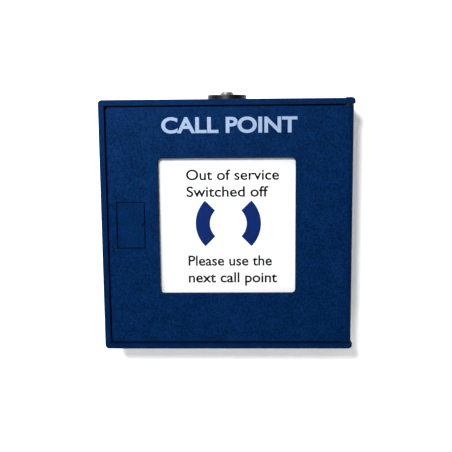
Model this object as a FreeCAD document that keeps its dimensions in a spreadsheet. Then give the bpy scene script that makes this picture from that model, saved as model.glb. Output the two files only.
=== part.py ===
import FreeCAD, Part
import math
import os
import re

# Manual call point: a square wall box with a hinged, glazed door over a push button.
# Frame: +X to the right and +Z up as seen from the front, the front looks along -Y.
# The origin is the middle of the flat back face, which lies on the wall at y = 0.

Vector = FreeCAD.Vector
doc = FreeCAD.newDocument("call_point")

driving = {
    # case
    "case_width": 133, "case_height": 133, "case_depth": 36, "case_wall": 3, "case_back": 2.5,
    "case_corner": 2, "edge_round": 0.5, "jamb_wall": 2.5, "ledge_depth": 9.5, "ledge_thick": 2.5,
    "ledge_reach": 4, "hinge_ledge": 8.5, "gasket_thick": 1.2, "gasket_inset": 0.4, "eye_rise": 0.4,
    "eye_width": 4.4, "wall_hole_x": 45, "wall_hole_z": 52, "wall_hole_d": 5.2,
    "cable_x": 22, "cable_z": -50, "cable_hole_d": 16, "cable_d": 9, "grommet_lip": 3,
    "grommet_thick": 1.5,
    # door and hinge
    "door_gap": 0.8, "door_inset": 0.3, "door_thick": 2.5, "rim_thick": 2, "rim_depth": 7.7,
    "hinge_radius": 3, "hinge_inset": 0.5, "hinge_pin_d": 2.5, "bush_wall": 0.7, "bush_length": 6,
    "bush_flange": 0.6, "running_gap": 0.05, "pin_grip": 2, "moving_gap": 0.3,
    # window
    "window_width": 72, "window_height": 72, "window_round": 2, "pane_lap": 4, "pane_thick": 0.9,
    "seal_thick": 0.5, "sign_thick": 0.8, "holder_thick": 1.7, "holder_side": 1.7, "holder_lap": 5,
    "pane_gap": 0.3, "ear_x": 30, "ear_width": 9, "ear_reach": 7,
    # flap with its pocket
    "flap_edge": 4.55, "flap_space": 7.65, "flap_z": 0.9, "flap_height": 24, "flap_thick": 2.4,
    "flap_proud": 0.3, "flap_gap": 0.4, "flap_pin_d": 1.2, "flap_pin_length": 5, "flap_nick": 1.2,
    "flap_nick_d": 2.4,
    "pocket_wall": 1, "pocket_depth": 5.3, "pocket_floor": 1.2, "lens_hole_d": 6,
    # lock and catch
    "lock_back": 13.5, "lock_flange_d": 21, "lock_flange": 2.5, "lock_body_d": 12,
    "lock_length": 10.5, "lock_hole_gap": 0.1, "lock_nut_af": 17, "lock_nut": 3, "spindle_d": 4.4,
    "lock_round": 0.6, "neck_d": 6, "neck_foot_d": 7.4, "neck": 1.5, "key_slot": 1.2,
    "collar_d": 9, "collar": 1.3, "cam_thick": 1.5, "cam_reach": 11, "cam_width": 4, "cam_hub_d": 10, "cam_screw_d": 2.4, "cam_screw_head_d": 8.5,
    "cam_screw_head": 1.4, "cam_screw_length": 5.5,
    "catch_left": 14, "catch_width": 7, "catch_thick": 1.5, "catch_foot_width": 15,
    "catch_foot": 8.5, "catch_gap": 0.2, "catch_drop": 1, "catch_pad": 2, "catch_screw_x": 4,
    # module behind the door
    "module_margin": 1, "module_right": 53, "module_notch": 1, "module_height": 88, "module_thick": 2.5,
    "module_rise": 10, "module_boss_x": 48, "module_boss_z": 38, "module_boss_d": 8,
    "mask_size": 84, "mask_thick": 1.5, "mask_post": 37, "mask_post_d": 7, "mask_stand": 10.5,
    "mask_gap": 0.25, "mask_corner": 3, "stand_d": 6,
    # button and switch
    "button_d": 19, "button_proud": 1.5, "button_flange_d": 23, "button_flange": 2,
    "button_hub_d": 12, "hub_clear": 0.4, "button_travel": 4, "shaft_d": 8, "shaft_tip_d": 2,
    "shaft_tip": 1, "guide_d": 12, "guide_flange_d": 17, "guide_flange": 0.8, "guide_length": 4.5,
    "spring_wire": 0.8, "spring_mean_d": 14, "rocker_pivot_x": 26.5, "rocker_thick": 1.5,
    "rocker_width": 8, "rocker_left": 28.5, "rocker_right": 11.5, "rocker_hub_d": 5.6,
    "rocker_pin_d": 3, "rocker_ear": 2, "rocker_ear_width": 6, "touch_gap": 0.1,
    "shaft_end": 9, "switch_x": 34.5, "switch_width": 13, "switch_height": 13, "switch_depth": 7,
    "switch_screw_z": 3.9, "switch_screw_head_d": 4.6,
    "plunger_d": 2, "plunger_length": 8.5, "plunger_gap": 0.15, "plunger_travel": 1.5,
    # circuit board
    "board_margin": 5.1, "board_right": 14, "board_height": 62, "board_thick": 1.6, "board_stand": 2,
    "lamp_size": 5, "lamp_thick": 2, "pipe_d": 5, "pipe_gap": 0.5, "key_x": -50.5, "key_z": -21,
    "key_d": 4.5, "key_travel": 0.8, "key_base": 6, "key_base_thick": 3.2, "key_rise": 3,
    "board_hole_inset": 4, "board_screw_head_d": 5, "relay_x": -26.5, "relay_z": 18.5,
    "relay_width": 15, "relay_height": 11, "relay_rise": 6, "can_x": -41, "can_z": -21, "can_d": 8,
    "can_rise": 5.5, "chip_x": -35, "chip_z": -3, "chip_size": 10, "chip_rise": 1.8,
    "resistor_x": -24, "resistor_z": -11, "resistor_pitch": 5, "resistor_length": 6,
    "resistor_width": 2, "resistor_rise": 1.6,
    # terminals
    "terminal_x": 47.6, "terminal_width": 10, "terminal_pitch": 8, "terminal_depth": 10,
    "terminal_screw_d": 4, "terminal_well": 5, "terminal_screw_sunk": 0.8,
    "terminal_screw_head": 2.5, "terminal_screw_length": 2.7,
    # screws
    "screw_d": 3, "screw_head_d": 5.6, "screw_head": 1.8, "slot_width": 0.8, "slot_depth": 0.9,
    "screw_hole_gap": 0.2,
}
terminal_count = 8
resistor_count = 5

# Places worked out from the driving sizes, all in the part's own frame.
placed = {
    "side": "case_width / 2",
    "top": "case_height / 2",
    "lip_front": "-case_depth",
    "back_front": "-case_back",
    "inner_side": "side - case_wall",
    "inner_top": "top - case_wall",
    "door_front": "-(case_depth - door_inset)",
    "door_back": "door_front + door_thick",
    "door_side": "inner_side - door_gap",
    "door_top": "inner_top - door_gap",
    "hinge_x": "side - hinge_inset - hinge_radius",
    "hinge_y": "door_front + hinge_radius",
    "rim_back": "door_front + rim_depth",
    "ledge_front": "lip_front + ledge_depth",
    "ledge_back": "ledge_front + ledge_thick",
    "ledge_side": "inner_side - ledge_reach",
    "ledge_top": "inner_top - ledge_reach",
    "jamb_inner": "side - jamb_wall",
    "jamb_front": "hinge_y + hinge_radius + hinge_inset",
    "ledge_hinge": "jamb_inner - hinge_ledge",
    "gasket_front": "ledge_front - gasket_thick",
    "pane_half": "window_width / 2 + pane_lap",
    "pane_half_z": "window_height / 2 + pane_lap",
    "pane_front": "door_back + seal_thick",
    "pane_back": "pane_front + pane_thick",
    "sign_back": "pane_back + sign_thick",
    "holder_back": "sign_back + holder_thick",
    "holder_half": "pane_half + pane_gap + holder_side",
    "holder_half_z": "pane_half_z + pane_gap + holder_side",
    "ear_z": "holder_half_z + ear_reach / 2 - 0.5",
    "flap_left": "-door_side + flap_edge",
    "flap_right": "-window_width / 2 - flap_space",
    "flap_x": "(flap_left + flap_right) / 2",
    "flap_low": "flap_z - flap_height / 2",
    "flap_high": "flap_z + flap_height / 2",
    "flap_front": "door_front - flap_proud",
    "flap_back": "flap_front + flap_thick",
    "flap_axis_x": "flap_left + flap_thick / 2",
    "flap_axis_y": "flap_front + flap_thick / 2",
    "pocket_back": "door_back + pocket_depth - door_inset - 1",
    "lock_y": "-lock_back",
    "body_low": "top - lock_length",
    "cam_high": "body_low - moving_gap - collar",
    "cam_low": "cam_high - cam_thick",
    "spindle_low": "cam_low - 0.2",
    "catch_high": "cam_low - catch_drop",
    "catch_low": "catch_high - catch_thick",
    "tab_front": "lock_y + cam_width / 2 + catch_gap",
    "tab_back": "tab_front + catch_thick",
    "foot_front": "door_back + catch_pad",
    "foot_back": "foot_front + catch_thick",
    "foot_low": "catch_high - catch_foot",
    "foot_x": "-catch_left + catch_width / 2",
    "foot_z": "foot_low + catch_foot * 0.45",
    "module_back": "back_front - module_rise",
    "module_front": "module_back - module_thick",
    "mask_back": "module_front - mask_stand",
    "mask_front": "mask_back - mask_thick",
    "cap_front": "mask_front - button_proud",
    "flange_front": "mask_back + moving_gap",
    "flange_back": "flange_front + button_flange",
    "guide_front": "module_front - guide_flange",
    "hub_back": "guide_front - button_travel - hub_clear",
    "shaft_back": "-shaft_end",
    "rocker_front": "shaft_back + touch_gap",
    "rocker_y": "rocker_front + rocker_thick / 2",
    "plunger_back": "rocker_front - plunger_gap",
    "plunger_front": "plunger_back - plunger_length",
    "board_left": "board_margin - flap_x",
    "module_left": "board_left + module_margin",
    "board_back": "module_front - board_stand",
    "board_front": "board_back - board_thick",
    "lamp_front": "board_front - lamp_thick",
    "key_base_front": "board_front - key_base_thick",
    "key_front": "key_base_front - key_rise",
    "terminal_front": "module_front - terminal_depth",
}

# ---------------------------------------------------------------- sheet and helpers
dims = doc.addObject("Spreadsheet::Sheet", "dims")
for row, (name, value) in enumerate(driving.items(), start=1):
    dims.set(f"A{row}", name)
    dims.set(f"B{row}", str(value))
    dims.setAlias(f"B{row}", name)
doc.recompute()

places = doc.addObject("App::VarSet", "places")


def qualify(text):
    """Write a size or place name in full, the way the document's expressions need it."""
    def full(match):
        word = match.group(0)
        if word in driving:
            return f"dims.{word}"
        return f"places.{word}" if word in placed else word
    return re.sub(r"[a-z][a-z_]*", full, str(text))


for name, text in placed.items():
    places.addProperty("App::PropertyFloat", name, "Places")
    places.setExpression(name, qualify(text))
doc.recompute()


def size(name):
    """The present value of a driving size or a place."""
    return dims.get(name) if name in driving else getattr(places, name)


def bind(item, **texts):
    for prop, text in texts.items():
        item.setExpression(prop.replace("__", "."), qualify(text))
    return item


def block(label, x, y, z):
    """A box between two planes on each axis, each pair given as (low, high)."""
    item = doc.addObject("Part::Box", label)
    bind(item, Length=f"({x[1]}) - ({x[0]})", Width=f"({y[1]}) - ({y[0]})",
         Height=f"({z[1]}) - ({z[0]})")
    return bind(item, Placement__Base__x=x[0], Placement__Base__y=y[0], Placement__Base__z=z[0])


turns = {
    "x": FreeCAD.Rotation(Vector(0, 1, 0), 90),
    "y": FreeCAD.Rotation(Vector(1, 0, 0), -90),
    "z": FreeCAD.Rotation(),
}


def rod(label, axis, centre, span, diameter):
    """A cylinder along one axis; centre is its place on the other two, span its two ends."""
    item = doc.addObject("Part::Cylinder", label)
    item.Placement = FreeCAD.Placement(Vector(), turns[axis])
    bind(item, Radius=f"({diameter}) / 2", Height=f"({span[1]}) - ({span[0]})")
    ends = dict(zip([a for a in "xyz" if a != axis], centre))
    ends[axis] = span[0]
    return bind(item, **{f"Placement__Base__{a}": text for a, text in ends.items()})


def join(label, *items):
    item = doc.addObject("Part::MultiFuse", label)
    item.Shapes = list(items)
    item.Refine = True
    return item


def cut(label, base, *tools):
    item = doc.addObject("Part::Cut", label)
    item.Base = base
    item.Tool = tools[0] if len(tools) == 1 else join(f"{label}_tool", *tools)
    return item


def together(label, *items):
    item = doc.addObject("Part::Compound", label)
    item.Links = list(items)
    return item


def rounded(label, base, radius, chosen):
    """Round the edges of base that chosen(edge) picks, all with one radius."""
    doc.recompute()
    item = doc.addObject("Part::Fillet", label)
    item.Base = base
    item.Edges = [(number, size(radius), size(radius))
                  for number, edge in enumerate(base.Shape.Edges, start=1) if chosen(edge)]
    return item


def runs_along(edge, axis):
    if edge.Curve.TypeId != "Part::GeomLine":
        return False
    return abs(abs(getattr(edge.Curve.Direction, axis)) - 1) < 1e-6


def lies_at(edge, **where):
    """True where the whole edge lies at the given x, y or z."""
    bounds = edge.BoundBox
    return all(abs(getattr(bounds, f"{axis.upper()}Min") - at) < 1e-4
               and abs(getattr(bounds, f"{axis.upper()}Max") - at) < 1e-4
               for axis, at in where.items())


def frame_block(label, x, y, z, inner_x, inner_z):
    """A rectangular ring: a box with a smaller box taken out of its middle."""
    hole = block(f"{label}_opening", inner_x, (f"({y[0]}) - 1", f"({y[1]}) + 1"), inner_z)
    return cut(label, block(f"{label}_outer", x, y, z), hole)


def both(text):
    return (f"-({text})", text)


def screws(label, spots, seat, length, head="screw_head_d", shank="screw_d"):
    """Slotted pan screws driven along +Y, heads on the plane seat, one at each (x, z)."""
    made = []
    for number, (x, z) in enumerate(spots, start=1):
        name = f"{label}_{number}"
        body = join(f"{name}_blank",
                    rod(f"{name}_head", "y", (x, z), (f"{seat} - screw_head", seat), head),
                    rod(f"{name}_shank", "y", (x, z), (seat, f"{seat} + {length}"), shank))
        slot = block(f"{name}_slot", (f"{x} - {head}", f"{x} + {head}"),
                     (f"{seat} - screw_head - 1", f"{seat} - screw_head + slot_depth"),
                     (f"{z} - slot_width / 2", f"{z} + slot_width / 2"))
        made.append(cut(name, body, slot))
    return together(label, *made)


def corners(x, z):
    return [(f"({sx} * ({x}))", f"({sz} * ({z}))") for sx in (-1, 1) for sz in (-1, 1)]


def holes(label, spots, span, diameter):
    return [rod(f"{label}_{number}", "y", spot, span, diameter)
            for number, spot in enumerate(spots, start=1)]


pieces = []


def piece(item, name):
    item.Label = name
    pieces.append(item)
    return item


# ---------------------------------------------------------------- case
def make_case():
    shell = block("case_outer", both("side"), ("lip_front", "0"), both("top"))
    shell = rounded("case_corners", shell, "case_corner", lambda edge: runs_along(edge, "y"))
    shell = rounded("case_rounded", shell, "edge_round",
                    lambda edge: lies_at(edge, y=size("lip_front")))
    hollow = block("case_hollow", ("-inner_side", "jamb_inner"),
                   ("lip_front - 1", "back_front"), both("inner_top"))
    jamb = block("case_jamb", ("inner_side - 1", "side + 1"), ("lip_front - 1", "jamb_front"),
                 both("inner_top"))
    corner = block("case_eye_seat", ("side - eye_width / 2", "side + 1"),
                   ("lip_front - 1", "jamb_front"), ("inner_top - 1", "top + 1"))
    shell = cut("case_shell", shell, hollow, jamb, corner)
    ledge = frame_block("case_ledge", ("-inner_side - 0.5", "jamb_inner + 0.5"),
                        ("ledge_front", "ledge_back"), both("inner_top + 0.5"),
                        ("-ledge_side", "ledge_hinge"), both("ledge_top"))
    eye = block("case_eye", ("side - eye_width", "side"), ("lip_front", "jamb_front"),
                ("inner_top", "top + eye_rise"))
    eye = rounded("case_eye_end", eye, "case_corner",
                  lambda edge: lies_at(edge, x=size("side"), z=size("top") + size("eye_rise")))
    eye = rounded("case_eye_foot", eye, "edge_round",
                  lambda edge: lies_at(edge, x=size("side"), z=size("inner_top")))
    eye = rounded("case_eye_round", eye, "edge_round",
                  lambda edge: lies_at(edge, y=size("lip_front")))
    bosses = holes("case_boss", corners("module_boss_x", "module_boss_z"),
                   ("module_back", "back_front + 0.5"), "module_boss_d")
    solid = join("case_solid", shell, ledge, eye, *bosses)
    openings = holes("case_wall_hole", corners("wall_hole_x", "wall_hole_z"),
                     ("back_front - 1", "1"), "wall_hole_d")
    openings += holes("case_boss_hole", corners("module_boss_x", "module_boss_z"),
                      ("module_back - 1", "back_front - 1"), "screw_d")
    openings.append(rod("case_cable_hole", "y", ("cable_x", "cable_z"), ("back_front - 1", "1"),
                        "cable_hole_d"))
    openings.append(rod("case_lock_hole", "z", ("0", "lock_y"), ("inner_top - 1", "top + 1"),
                        "lock_body_d + 2 * lock_hole_gap"))
    openings += [rod(f"case_pin_hole_{end}", "z", ("hinge_x", "hinge_y"), span, "hinge_pin_d")
                 for end, span in (("top", ("inner_top - 1", "inner_top + pin_grip")),
                                   ("bottom", ("-inner_top - pin_grip", "-inner_top + 1")))]
    piece(cut("case", solid, *openings), "back_box")


def make_gasket():
    ring = frame_block("gasket_ring", ("-inner_side + gasket_inset", "jamb_inner - gasket_inset"),
                       ("gasket_front", "ledge_front"), both("inner_top - gasket_inset"),
                       ("-ledge_side - gasket_inset", "ledge_hinge + gasket_inset"),
                       both("ledge_top + gasket_inset"))
    piece(ring, "case_gasket")


def make_grommet():
    spot = ("cable_x", "cable_z")
    sleeve = join("grommet_sleeve",
                  rod("grommet_neck", "y", spot, ("back_front", "0"), "cable_hole_d"),
                  rod("grommet_rim", "y", spot, ("back_front - grommet_thick", "back_front"),
                      "cable_hole_d + 2 * grommet_lip"))
    way = rod("grommet_way", "y", spot, ("back_front - grommet_thick - 1", "1"), "cable_d")
    piece(cut("grommet", sleeve, way), "cable_grommet")


# ---------------------------------------------------------------- door and its hinge
def make_door():
    plate = block("door_plate", ("-door_side", "hinge_x"), ("door_front", "door_back"),
                  both("door_top"))
    plate = rounded("door_plate_corners", plate, "case_corner",
                    lambda edge: runs_along(edge, "y") and edge.BoundBox.XMin < 0)
    plate = rounded("door_plate_edges", plate, "edge_round",
                    lambda edge: lies_at(edge, y=size("door_front"))
                    and not runs_along(edge, "z") or lies_at(edge, x=-size("door_side"),
                                                             y=size("door_front")))
    barrel = rod("door_barrel", "z", ("hinge_x", "hinge_y"), both("door_top"), "2 * hinge_radius")
    rim = frame_block("door_rim", ("-door_side", "hinge_x - hinge_radius - 1"),
                      ("door_back - 0.5", "rim_back"), both("door_top"),
                      ("-door_side + rim_thick", "hinge_x - hinge_radius - 1 - rim_thick"),
                      both("door_top - rim_thick"))
    rim = rounded("door_rim_corners", rim, "case_corner",
                  lambda edge: runs_along(edge, "y")
                  and lies_at(edge, x=-size("door_side")))
    pocket = block("door_pocket", ("flap_left - flap_gap - pocket_wall",
                                   "flap_right + flap_gap + pocket_wall"),
                   ("door_back - 0.5", "pocket_back"),
                   ("flap_low - flap_gap - pocket_wall", "flap_high + flap_gap + pocket_wall"))
    pad = block("door_catch_pad", ("foot_x - catch_foot_width / 2", "foot_x + catch_foot_width / 2"),
                ("door_back - 0.5", "foot_front"), ("foot_low", "catch_high"))
    bosses = holes("door_boss", corners("ear_x", "ear_z"), ("door_back - 0.5", "sign_back"),
                   "ear_width - 2")
    solid = join("door_solid", plate, barrel, rim, pocket, pad, *bosses)
    window = block("door_window", both("window_width / 2"), ("door_front - 1", "door_back + 1"),
                   both("window_height / 2"))
    window = rounded("door_window_round", window, "window_round",
                     lambda edge: runs_along(edge, "y"))
    flap_way = block("door_flap_way", ("flap_left - flap_gap", "flap_right + flap_gap"),
                     ("door_front - 1", "pocket_back - pocket_floor"),
                     ("flap_low - flap_gap", "flap_high + flap_gap"))
    lens = rod("door_lens_hole", "y", ("flap_x", "flap_z"), ("door_front - 1", "pocket_back + 1"),
               "lens_hole_d")
    openings = [window, flap_way, lens]
    openings += holes("door_boss_hole", corners("ear_x", "ear_z"),
                      ("sign_back - 3.4", "sign_back + 1"), "screw_d")
    openings += holes("door_catch_hole", catch_spots, ("foot_front - 3", "foot_front + 1"),
                      "screw_d")
    openings += [rod(f"door_bush_hole_{end}", "z", ("hinge_x", "hinge_y"), span,
                     "hinge_pin_d + 2 * running_gap + 2 * bush_wall")
                 for end, span in (("top", ("door_top - bush_length", "door_top + 1")),
                                   ("bottom", ("-door_top - 1", "-door_top + bush_length")))]
    openings += [rod(f"door_flap_pin_hole_{end}", "z", ("flap_axis_x", "flap_axis_y"), span,
                     "flap_pin_d")
                 for end, span in flap_pin_spans.items()]
    pierced = cut("door_pierced", solid, *openings)
    reach = size("window_width") / 2 + 0.1
    door = rounded("door", pierced, "edge_round",
                   lambda edge: lies_at(edge, y=size("door_front"))
                   and -reach < edge.BoundBox.XMin and edge.BoundBox.XMax < reach
                   and edge.BoundBox.ZMax < size("window_height") / 2 + 0.1
                   and edge.BoundBox.ZMin > -size("window_height") / 2 - 0.1)
    piece(door, "door_shell")


catch_spots = [("(foot_x - catch_screw_x)", "foot_z"), ("(foot_x + catch_screw_x)", "foot_z")]
flap_pin_spans = {
    "top": ("flap_high + flap_gap - flap_pin_length / 2", "flap_high + flap_gap + flap_pin_length / 2"),
    "bottom": ("flap_low - flap_gap - flap_pin_length / 2",
               "flap_low - flap_gap + flap_pin_length / 2"),
}


def make_hinge():
    pins = [rod("hinge_pin_top", "z", ("hinge_x", "hinge_y"),
                ("door_top - bush_length + 0.5", "inner_top + pin_grip"), "hinge_pin_d"),
            rod("hinge_pin_bottom", "z", ("hinge_x", "hinge_y"),
                ("-inner_top - pin_grip", "-door_top + bush_length - 0.5"), "hinge_pin_d")]
    piece(together("hinge_pins", *pins), "hinge_pins")
    bore = "hinge_pin_d + 2 * running_gap"
    bushes = []
    for end, sleeve, flange in (("top", ("door_top - bush_length", "door_top"),
                                 ("door_top", "door_top + bush_flange")),
                                ("bottom", ("-door_top", "-door_top + bush_length"),
                                 ("-door_top - bush_flange", "-door_top"))):
        spot = ("hinge_x", "hinge_y")
        body = join(f"bush_body_{end}",
                    rod(f"bush_sleeve_{end}", "z", spot, sleeve, f"{bore} + 2 * bush_wall"),
                    rod(f"bush_flange_{end}", "z", spot, flange, "2 * hinge_radius - 0.4"))
        way = rod(f"bush_way_{end}", "z", spot, (f"{sleeve[0]} - 2", f"{sleeve[1]} + 2"), bore)
        bushes.append(cut(f"bush_{end}", body, way))
    piece(together("hinge_bushes", *bushes), "hinge_bushes")


# ---------------------------------------------------------------- window
def make_window():
    piece(frame_block("window_seal", both("pane_half"), ("door_back", "pane_front"),
                      both("pane_half_z"), both("window_width / 2 + 1"),
                      both("window_height / 2 + 1")), "window_seal")
    piece(block("glass_pane", both("pane_half"), ("pane_front", "pane_back"),
                both("pane_half_z")), "glass_pane")
    piece(block("sign_insert", both("pane_half"), ("pane_back", "sign_back"),
                both("pane_half_z")), "sign_insert")
    outer = block("holder_outer", both("holder_half"), ("door_back + 0.1", "holder_back"),
                  both("holder_half_z"))
    ears = [block(f"holder_ear_{number}", (f"{x} - ear_width / 2", f"{x} + ear_width / 2"),
                  ("sign_back", "holder_back"),
                  (f"{z} - ear_reach / 2", f"{z} + ear_reach / 2"))
            for number, (x, z) in enumerate(corners("ear_x", "ear_z"), start=1)]
    bed = block("holder_bed", both("pane_half + pane_gap"), ("door_back - 1", "sign_back"),
                both("pane_half_z + pane_gap"))
    view = block("holder_view", both("pane_half - holder_lap"), ("door_back", "holder_back + 1"),
                 both("pane_half_z - holder_lap"))
    way = holes("holder_screw_hole", corners("ear_x", "ear_z"), ("door_back", "holder_back + 1"),
                "screw_d + 2 * screw_hole_gap")
    relief = [rod(f"holder_relief_{number}", "y", spot, ("door_back", "sign_back"), "ear_width - 1.4")
              for number, spot in enumerate(corners("ear_x", "ear_z"), start=1)]
    piece(cut("holder", join("holder_blank", outer, *ears), bed, view, *way, *relief), "glass_holder")
    piece(screws_from_back("holder_screws", corners("ear_x", "ear_z"), "holder_back",
                           "holder_thick + 3"), "holder_screws")


def screws_from_back(label, spots, seat, length):
    """Slotted pan screws driven along -Y from inside the door, heads on the plane seat."""
    made = []
    for number, (x, z) in enumerate(spots, start=1):
        name = f"{label}_{number}"
        body = join(f"{name}_blank",
                    rod(f"{name}_head", "y", (x, z), (seat, f"{seat} + screw_head / 2"),
                        "screw_head_d"),
                    rod(f"{name}_shank", "y", (x, z), (f"{seat} - ({length})", seat), "screw_d"))
        slot = block(f"{name}_slot", (f"{x} - screw_head_d", f"{x} + screw_head_d"),
                     (f"{seat} + screw_head / 2 - slot_depth / 2", f"{seat} + screw_head"),
                     (f"{z} - slot_width / 2", f"{z} + slot_width / 2"))
        made.append(cut(name, body, slot))
    return together(label, *made)


# ---------------------------------------------------------------- flap
def make_flap():
    leaf = block("flap_leaf", ("flap_axis_x", "flap_right"), ("flap_front", "flap_back"),
                 ("flap_low", "flap_high"))
    knuckle = rod("flap_knuckle", "z", ("flap_axis_x", "flap_axis_y"), ("flap_low", "flap_high"),
                  "flap_thick")
    bores = [rod(f"flap_bore_{end}", "z", ("flap_axis_x", "flap_axis_y"), span,
                 "flap_pin_d + 2 * running_gap")
             for end, span in (("top", ("flap_high - flap_pin_length / 2", "flap_high + 1")),
                               ("bottom", ("flap_low - 1", "flap_low + flap_pin_length / 2")))]
    nick = rod("flap_nick_cut", "x", ("flap_front", "flap_z"),
               ("flap_right - flap_nick", "flap_right + 1"), "flap_nick_d")
    blank = cut("flap_blank", join("flap_solid", leaf, knuckle), nick, *bores)
    flap = rounded("service_flap", blank, "flap_proud",
                   lambda edge: lies_at(edge, y=size("flap_front")) and edge.Length > 9)
    piece(flap, "service_flap")
    pins = [rod(f"flap_pin_{end}", "z", ("flap_axis_x", "flap_axis_y"), span, "flap_pin_d")
            for end, span in flap_pin_spans.items()]
    piece(together("flap_pins", *pins), "flap_pins")


# ---------------------------------------------------------------- lock and catch
def make_lock():
    spot = ("0", "lock_y")
    flange = rod("lock_flange_disc", "z", spot, ("top", "top + lock_flange"), "lock_flange_d")
    flange = rounded("lock_flange_round", flange, "lock_round",
                     lambda edge: lies_at(edge, z=size("top") + size("lock_flange")))
    neck = doc.addObject("Part::Cone", "lock_neck")
    bind(neck, Radius1="neck_foot_d / 2", Radius2="neck_d / 2", Height="neck",
         Placement__Base__y="lock_y", Placement__Base__z="top + lock_flange")
    body = join("lock_solid", flange, neck, rod("lock_barrel", "z", spot, ("body_low", "top"),
                                                "lock_body_d"))
    bore = rod("lock_bore", "z", spot, ("body_low - 1", "top + lock_flange + neck + 1"),
               "spindle_d + 2 * running_gap")
    piece(cut("lock_body", body, bore), "lock_body")

    nut = doc.addObject("Part::Prism", "lock_nut_hexagon")
    nut.Polygon = 6
    bind(nut, Circumradius="lock_nut_af / sqrt(3)", Height="lock_nut",
         Placement__Base__y="lock_y", Placement__Base__z="inner_top - lock_nut")
    thread = rod("lock_nut_thread", "z", spot, ("inner_top - lock_nut - 1", "inner_top + 1"),
                 "lock_body_d")
    piece(cut("lock_nut", nut, thread), "lock_nut")

    post = rod("spindle_post", "z", spot, ("spindle_low", "top + lock_flange + neck - 0.2"),
               "spindle_d")
    collar = rod("spindle_collar", "z", spot, ("cam_high", "cam_high + collar"), "collar_d")
    tapped = rod("spindle_thread", "z", spot,
                 ("spindle_low - 1", "spindle_low + cam_screw_length + 0.5"), "cam_screw_d")
    key_way = block("spindle_key_way", both("key_slot / 2"), ("lock_y - spindle_d", "lock_y + spindle_d"),
                    ("top + lock_flange", "top + lock_flange + neck + 1"))
    spindle = cut("spindle", join("spindle_solid", post, collar), tapped, key_way)
    piece(spindle, "lock_spindle")

    hub = rod("cam_hub", "z", spot, ("cam_low", "cam_high"), "cam_hub_d")
    finger = block("cam_finger", both("cam_width / 2"), ("lock_y - cam_reach", "lock_y"),
                   ("cam_low", "cam_high"))
    bore = rod("cam_bore", "z", spot, ("cam_low - 1", "cam_high + 1"), "spindle_d")
    piece(cut("cam", join("cam_solid", hub, finger), bore), "lock_cam")

    head = rod("cam_screw_head", "z", spot, ("spindle_low - cam_screw_head", "spindle_low"),
               "cam_screw_head_d")
    shank = rod("cam_screw_shank", "z", spot,
                ("spindle_low", "spindle_low + cam_screw_length"), "cam_screw_d")
    piece(join("cam_screw", head, shank), "cam_screw")


def make_catch():
    span = ("-catch_left", "-catch_left + catch_width")
    arm = block("catch_arm", span, ("foot_front", "tab_back"), ("catch_low", "catch_high"))
    foot = block("catch_foot_plate", ("foot_x - catch_foot_width / 2",
                                      "foot_x + catch_foot_width / 2"),
                 ("foot_front", "foot_back"), ("foot_low", "catch_high"))
    tab = block("catch_tab", span, ("tab_front", "tab_back"), ("catch_low", "cam_high + 1"))
    way = holes("catch_screw_hole", catch_spots, ("foot_front - 1", "foot_back + 1"),
                "screw_d + 2 * screw_hole_gap")
    piece(cut("catch", join("catch_solid", arm, foot, tab), *way), "door_catch")
    piece(screws_from_back("catch_screws", catch_spots, "foot_back", "catch_thick + 2.5"),
          "catch_screws")


# ---------------------------------------------------------------- module
def make_module():
    plate = block("module_plate", ("-module_left", "module_right"), ("module_front", "module_back"),
                  both("module_height / 2"))
    posts = holes("module_post", corners("mask_post", "mask_post"),
                  ("mask_back", "module_front + 0.5"), "mask_post_d")
    stands = holes("module_stand", board_spots, ("board_back", "module_front + 0.5"), "stand_d")
    ears = [block(f"module_ear_{end}", ("rocker_pivot_x - rocker_ear_width / 2",
                                        "rocker_pivot_x + rocker_ear_width / 2"),
                  ("module_back - 0.5", "rocker_y + rocker_pin_d"), span)
            for end, span in (("top", rocker_ear_top), ("bottom", rocker_ear_bottom))]
    solid = join("module_solid", plate, *posts, *stands, *ears)
    ways = holes("module_screw_hole", corners("module_boss_x", "module_boss_z"),
                 ("module_front - 1", "module_back + 1"), "screw_d + 2 * screw_hole_gap")
    ways += holes("module_post_hole", corners("mask_post", "mask_post"),
                  ("mask_back - 1", "mask_back + 6"), "screw_d")
    ways += holes("module_stand_hole", board_spots, ("board_back - 1", "module_back - 0.5"),
                  "screw_d")
    ways += holes("module_switch_hole", switch_spots, ("module_front - 1", "module_back + 1"),
                  "screw_d")
    ways.append(block("module_lock_notch", ("-catch_left - module_notch",
                                            "cam_hub_d / 2 + module_notch"),
                      ("module_front - 1", "module_back + 1"),
                      ("catch_low - module_notch", "inner_top")))
    ways.append(rod("module_guide_hole", "y", ("0", "0"), ("module_front - 1", "module_back + 1"),
                    "guide_d"))
    ways.append(rod("module_plunger_hole", "y", ("switch_x", "0"),
                    ("module_front - 1", "module_back + 1"), "plunger_d + 2 * moving_gap"))
    ways.append(rod("module_pin_hole", "z", ("rocker_pivot_x", "rocker_y"),
                    (f"{rocker_ear_bottom[0]} - 1", f"{rocker_ear_top[1]} + 1"), "rocker_pin_d"))
    piece(cut("module", solid, *ways), "module_base")
    piece(screws("module_screws", corners("module_boss_x", "module_boss_z"), "module_front",
                 "module_thick + 6"), "module_screws")


board_spots = [(x, f"({sign} * (board_height / 2 - board_hole_inset))") for sign in (-1, 1)
               for x in ("(board_hole_inset - board_left)", "(-board_right - board_hole_inset)")]
switch_spots = [("switch_x", f"({sign} * switch_screw_z)") for sign in (-1, 1)]
rocker_ear_top = ("rocker_width / 2 + 0.3", "rocker_width / 2 + 0.3 + rocker_ear")
rocker_ear_bottom = ("-rocker_width / 2 - 0.3 - rocker_ear", "-rocker_width / 2 - 0.3")


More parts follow.
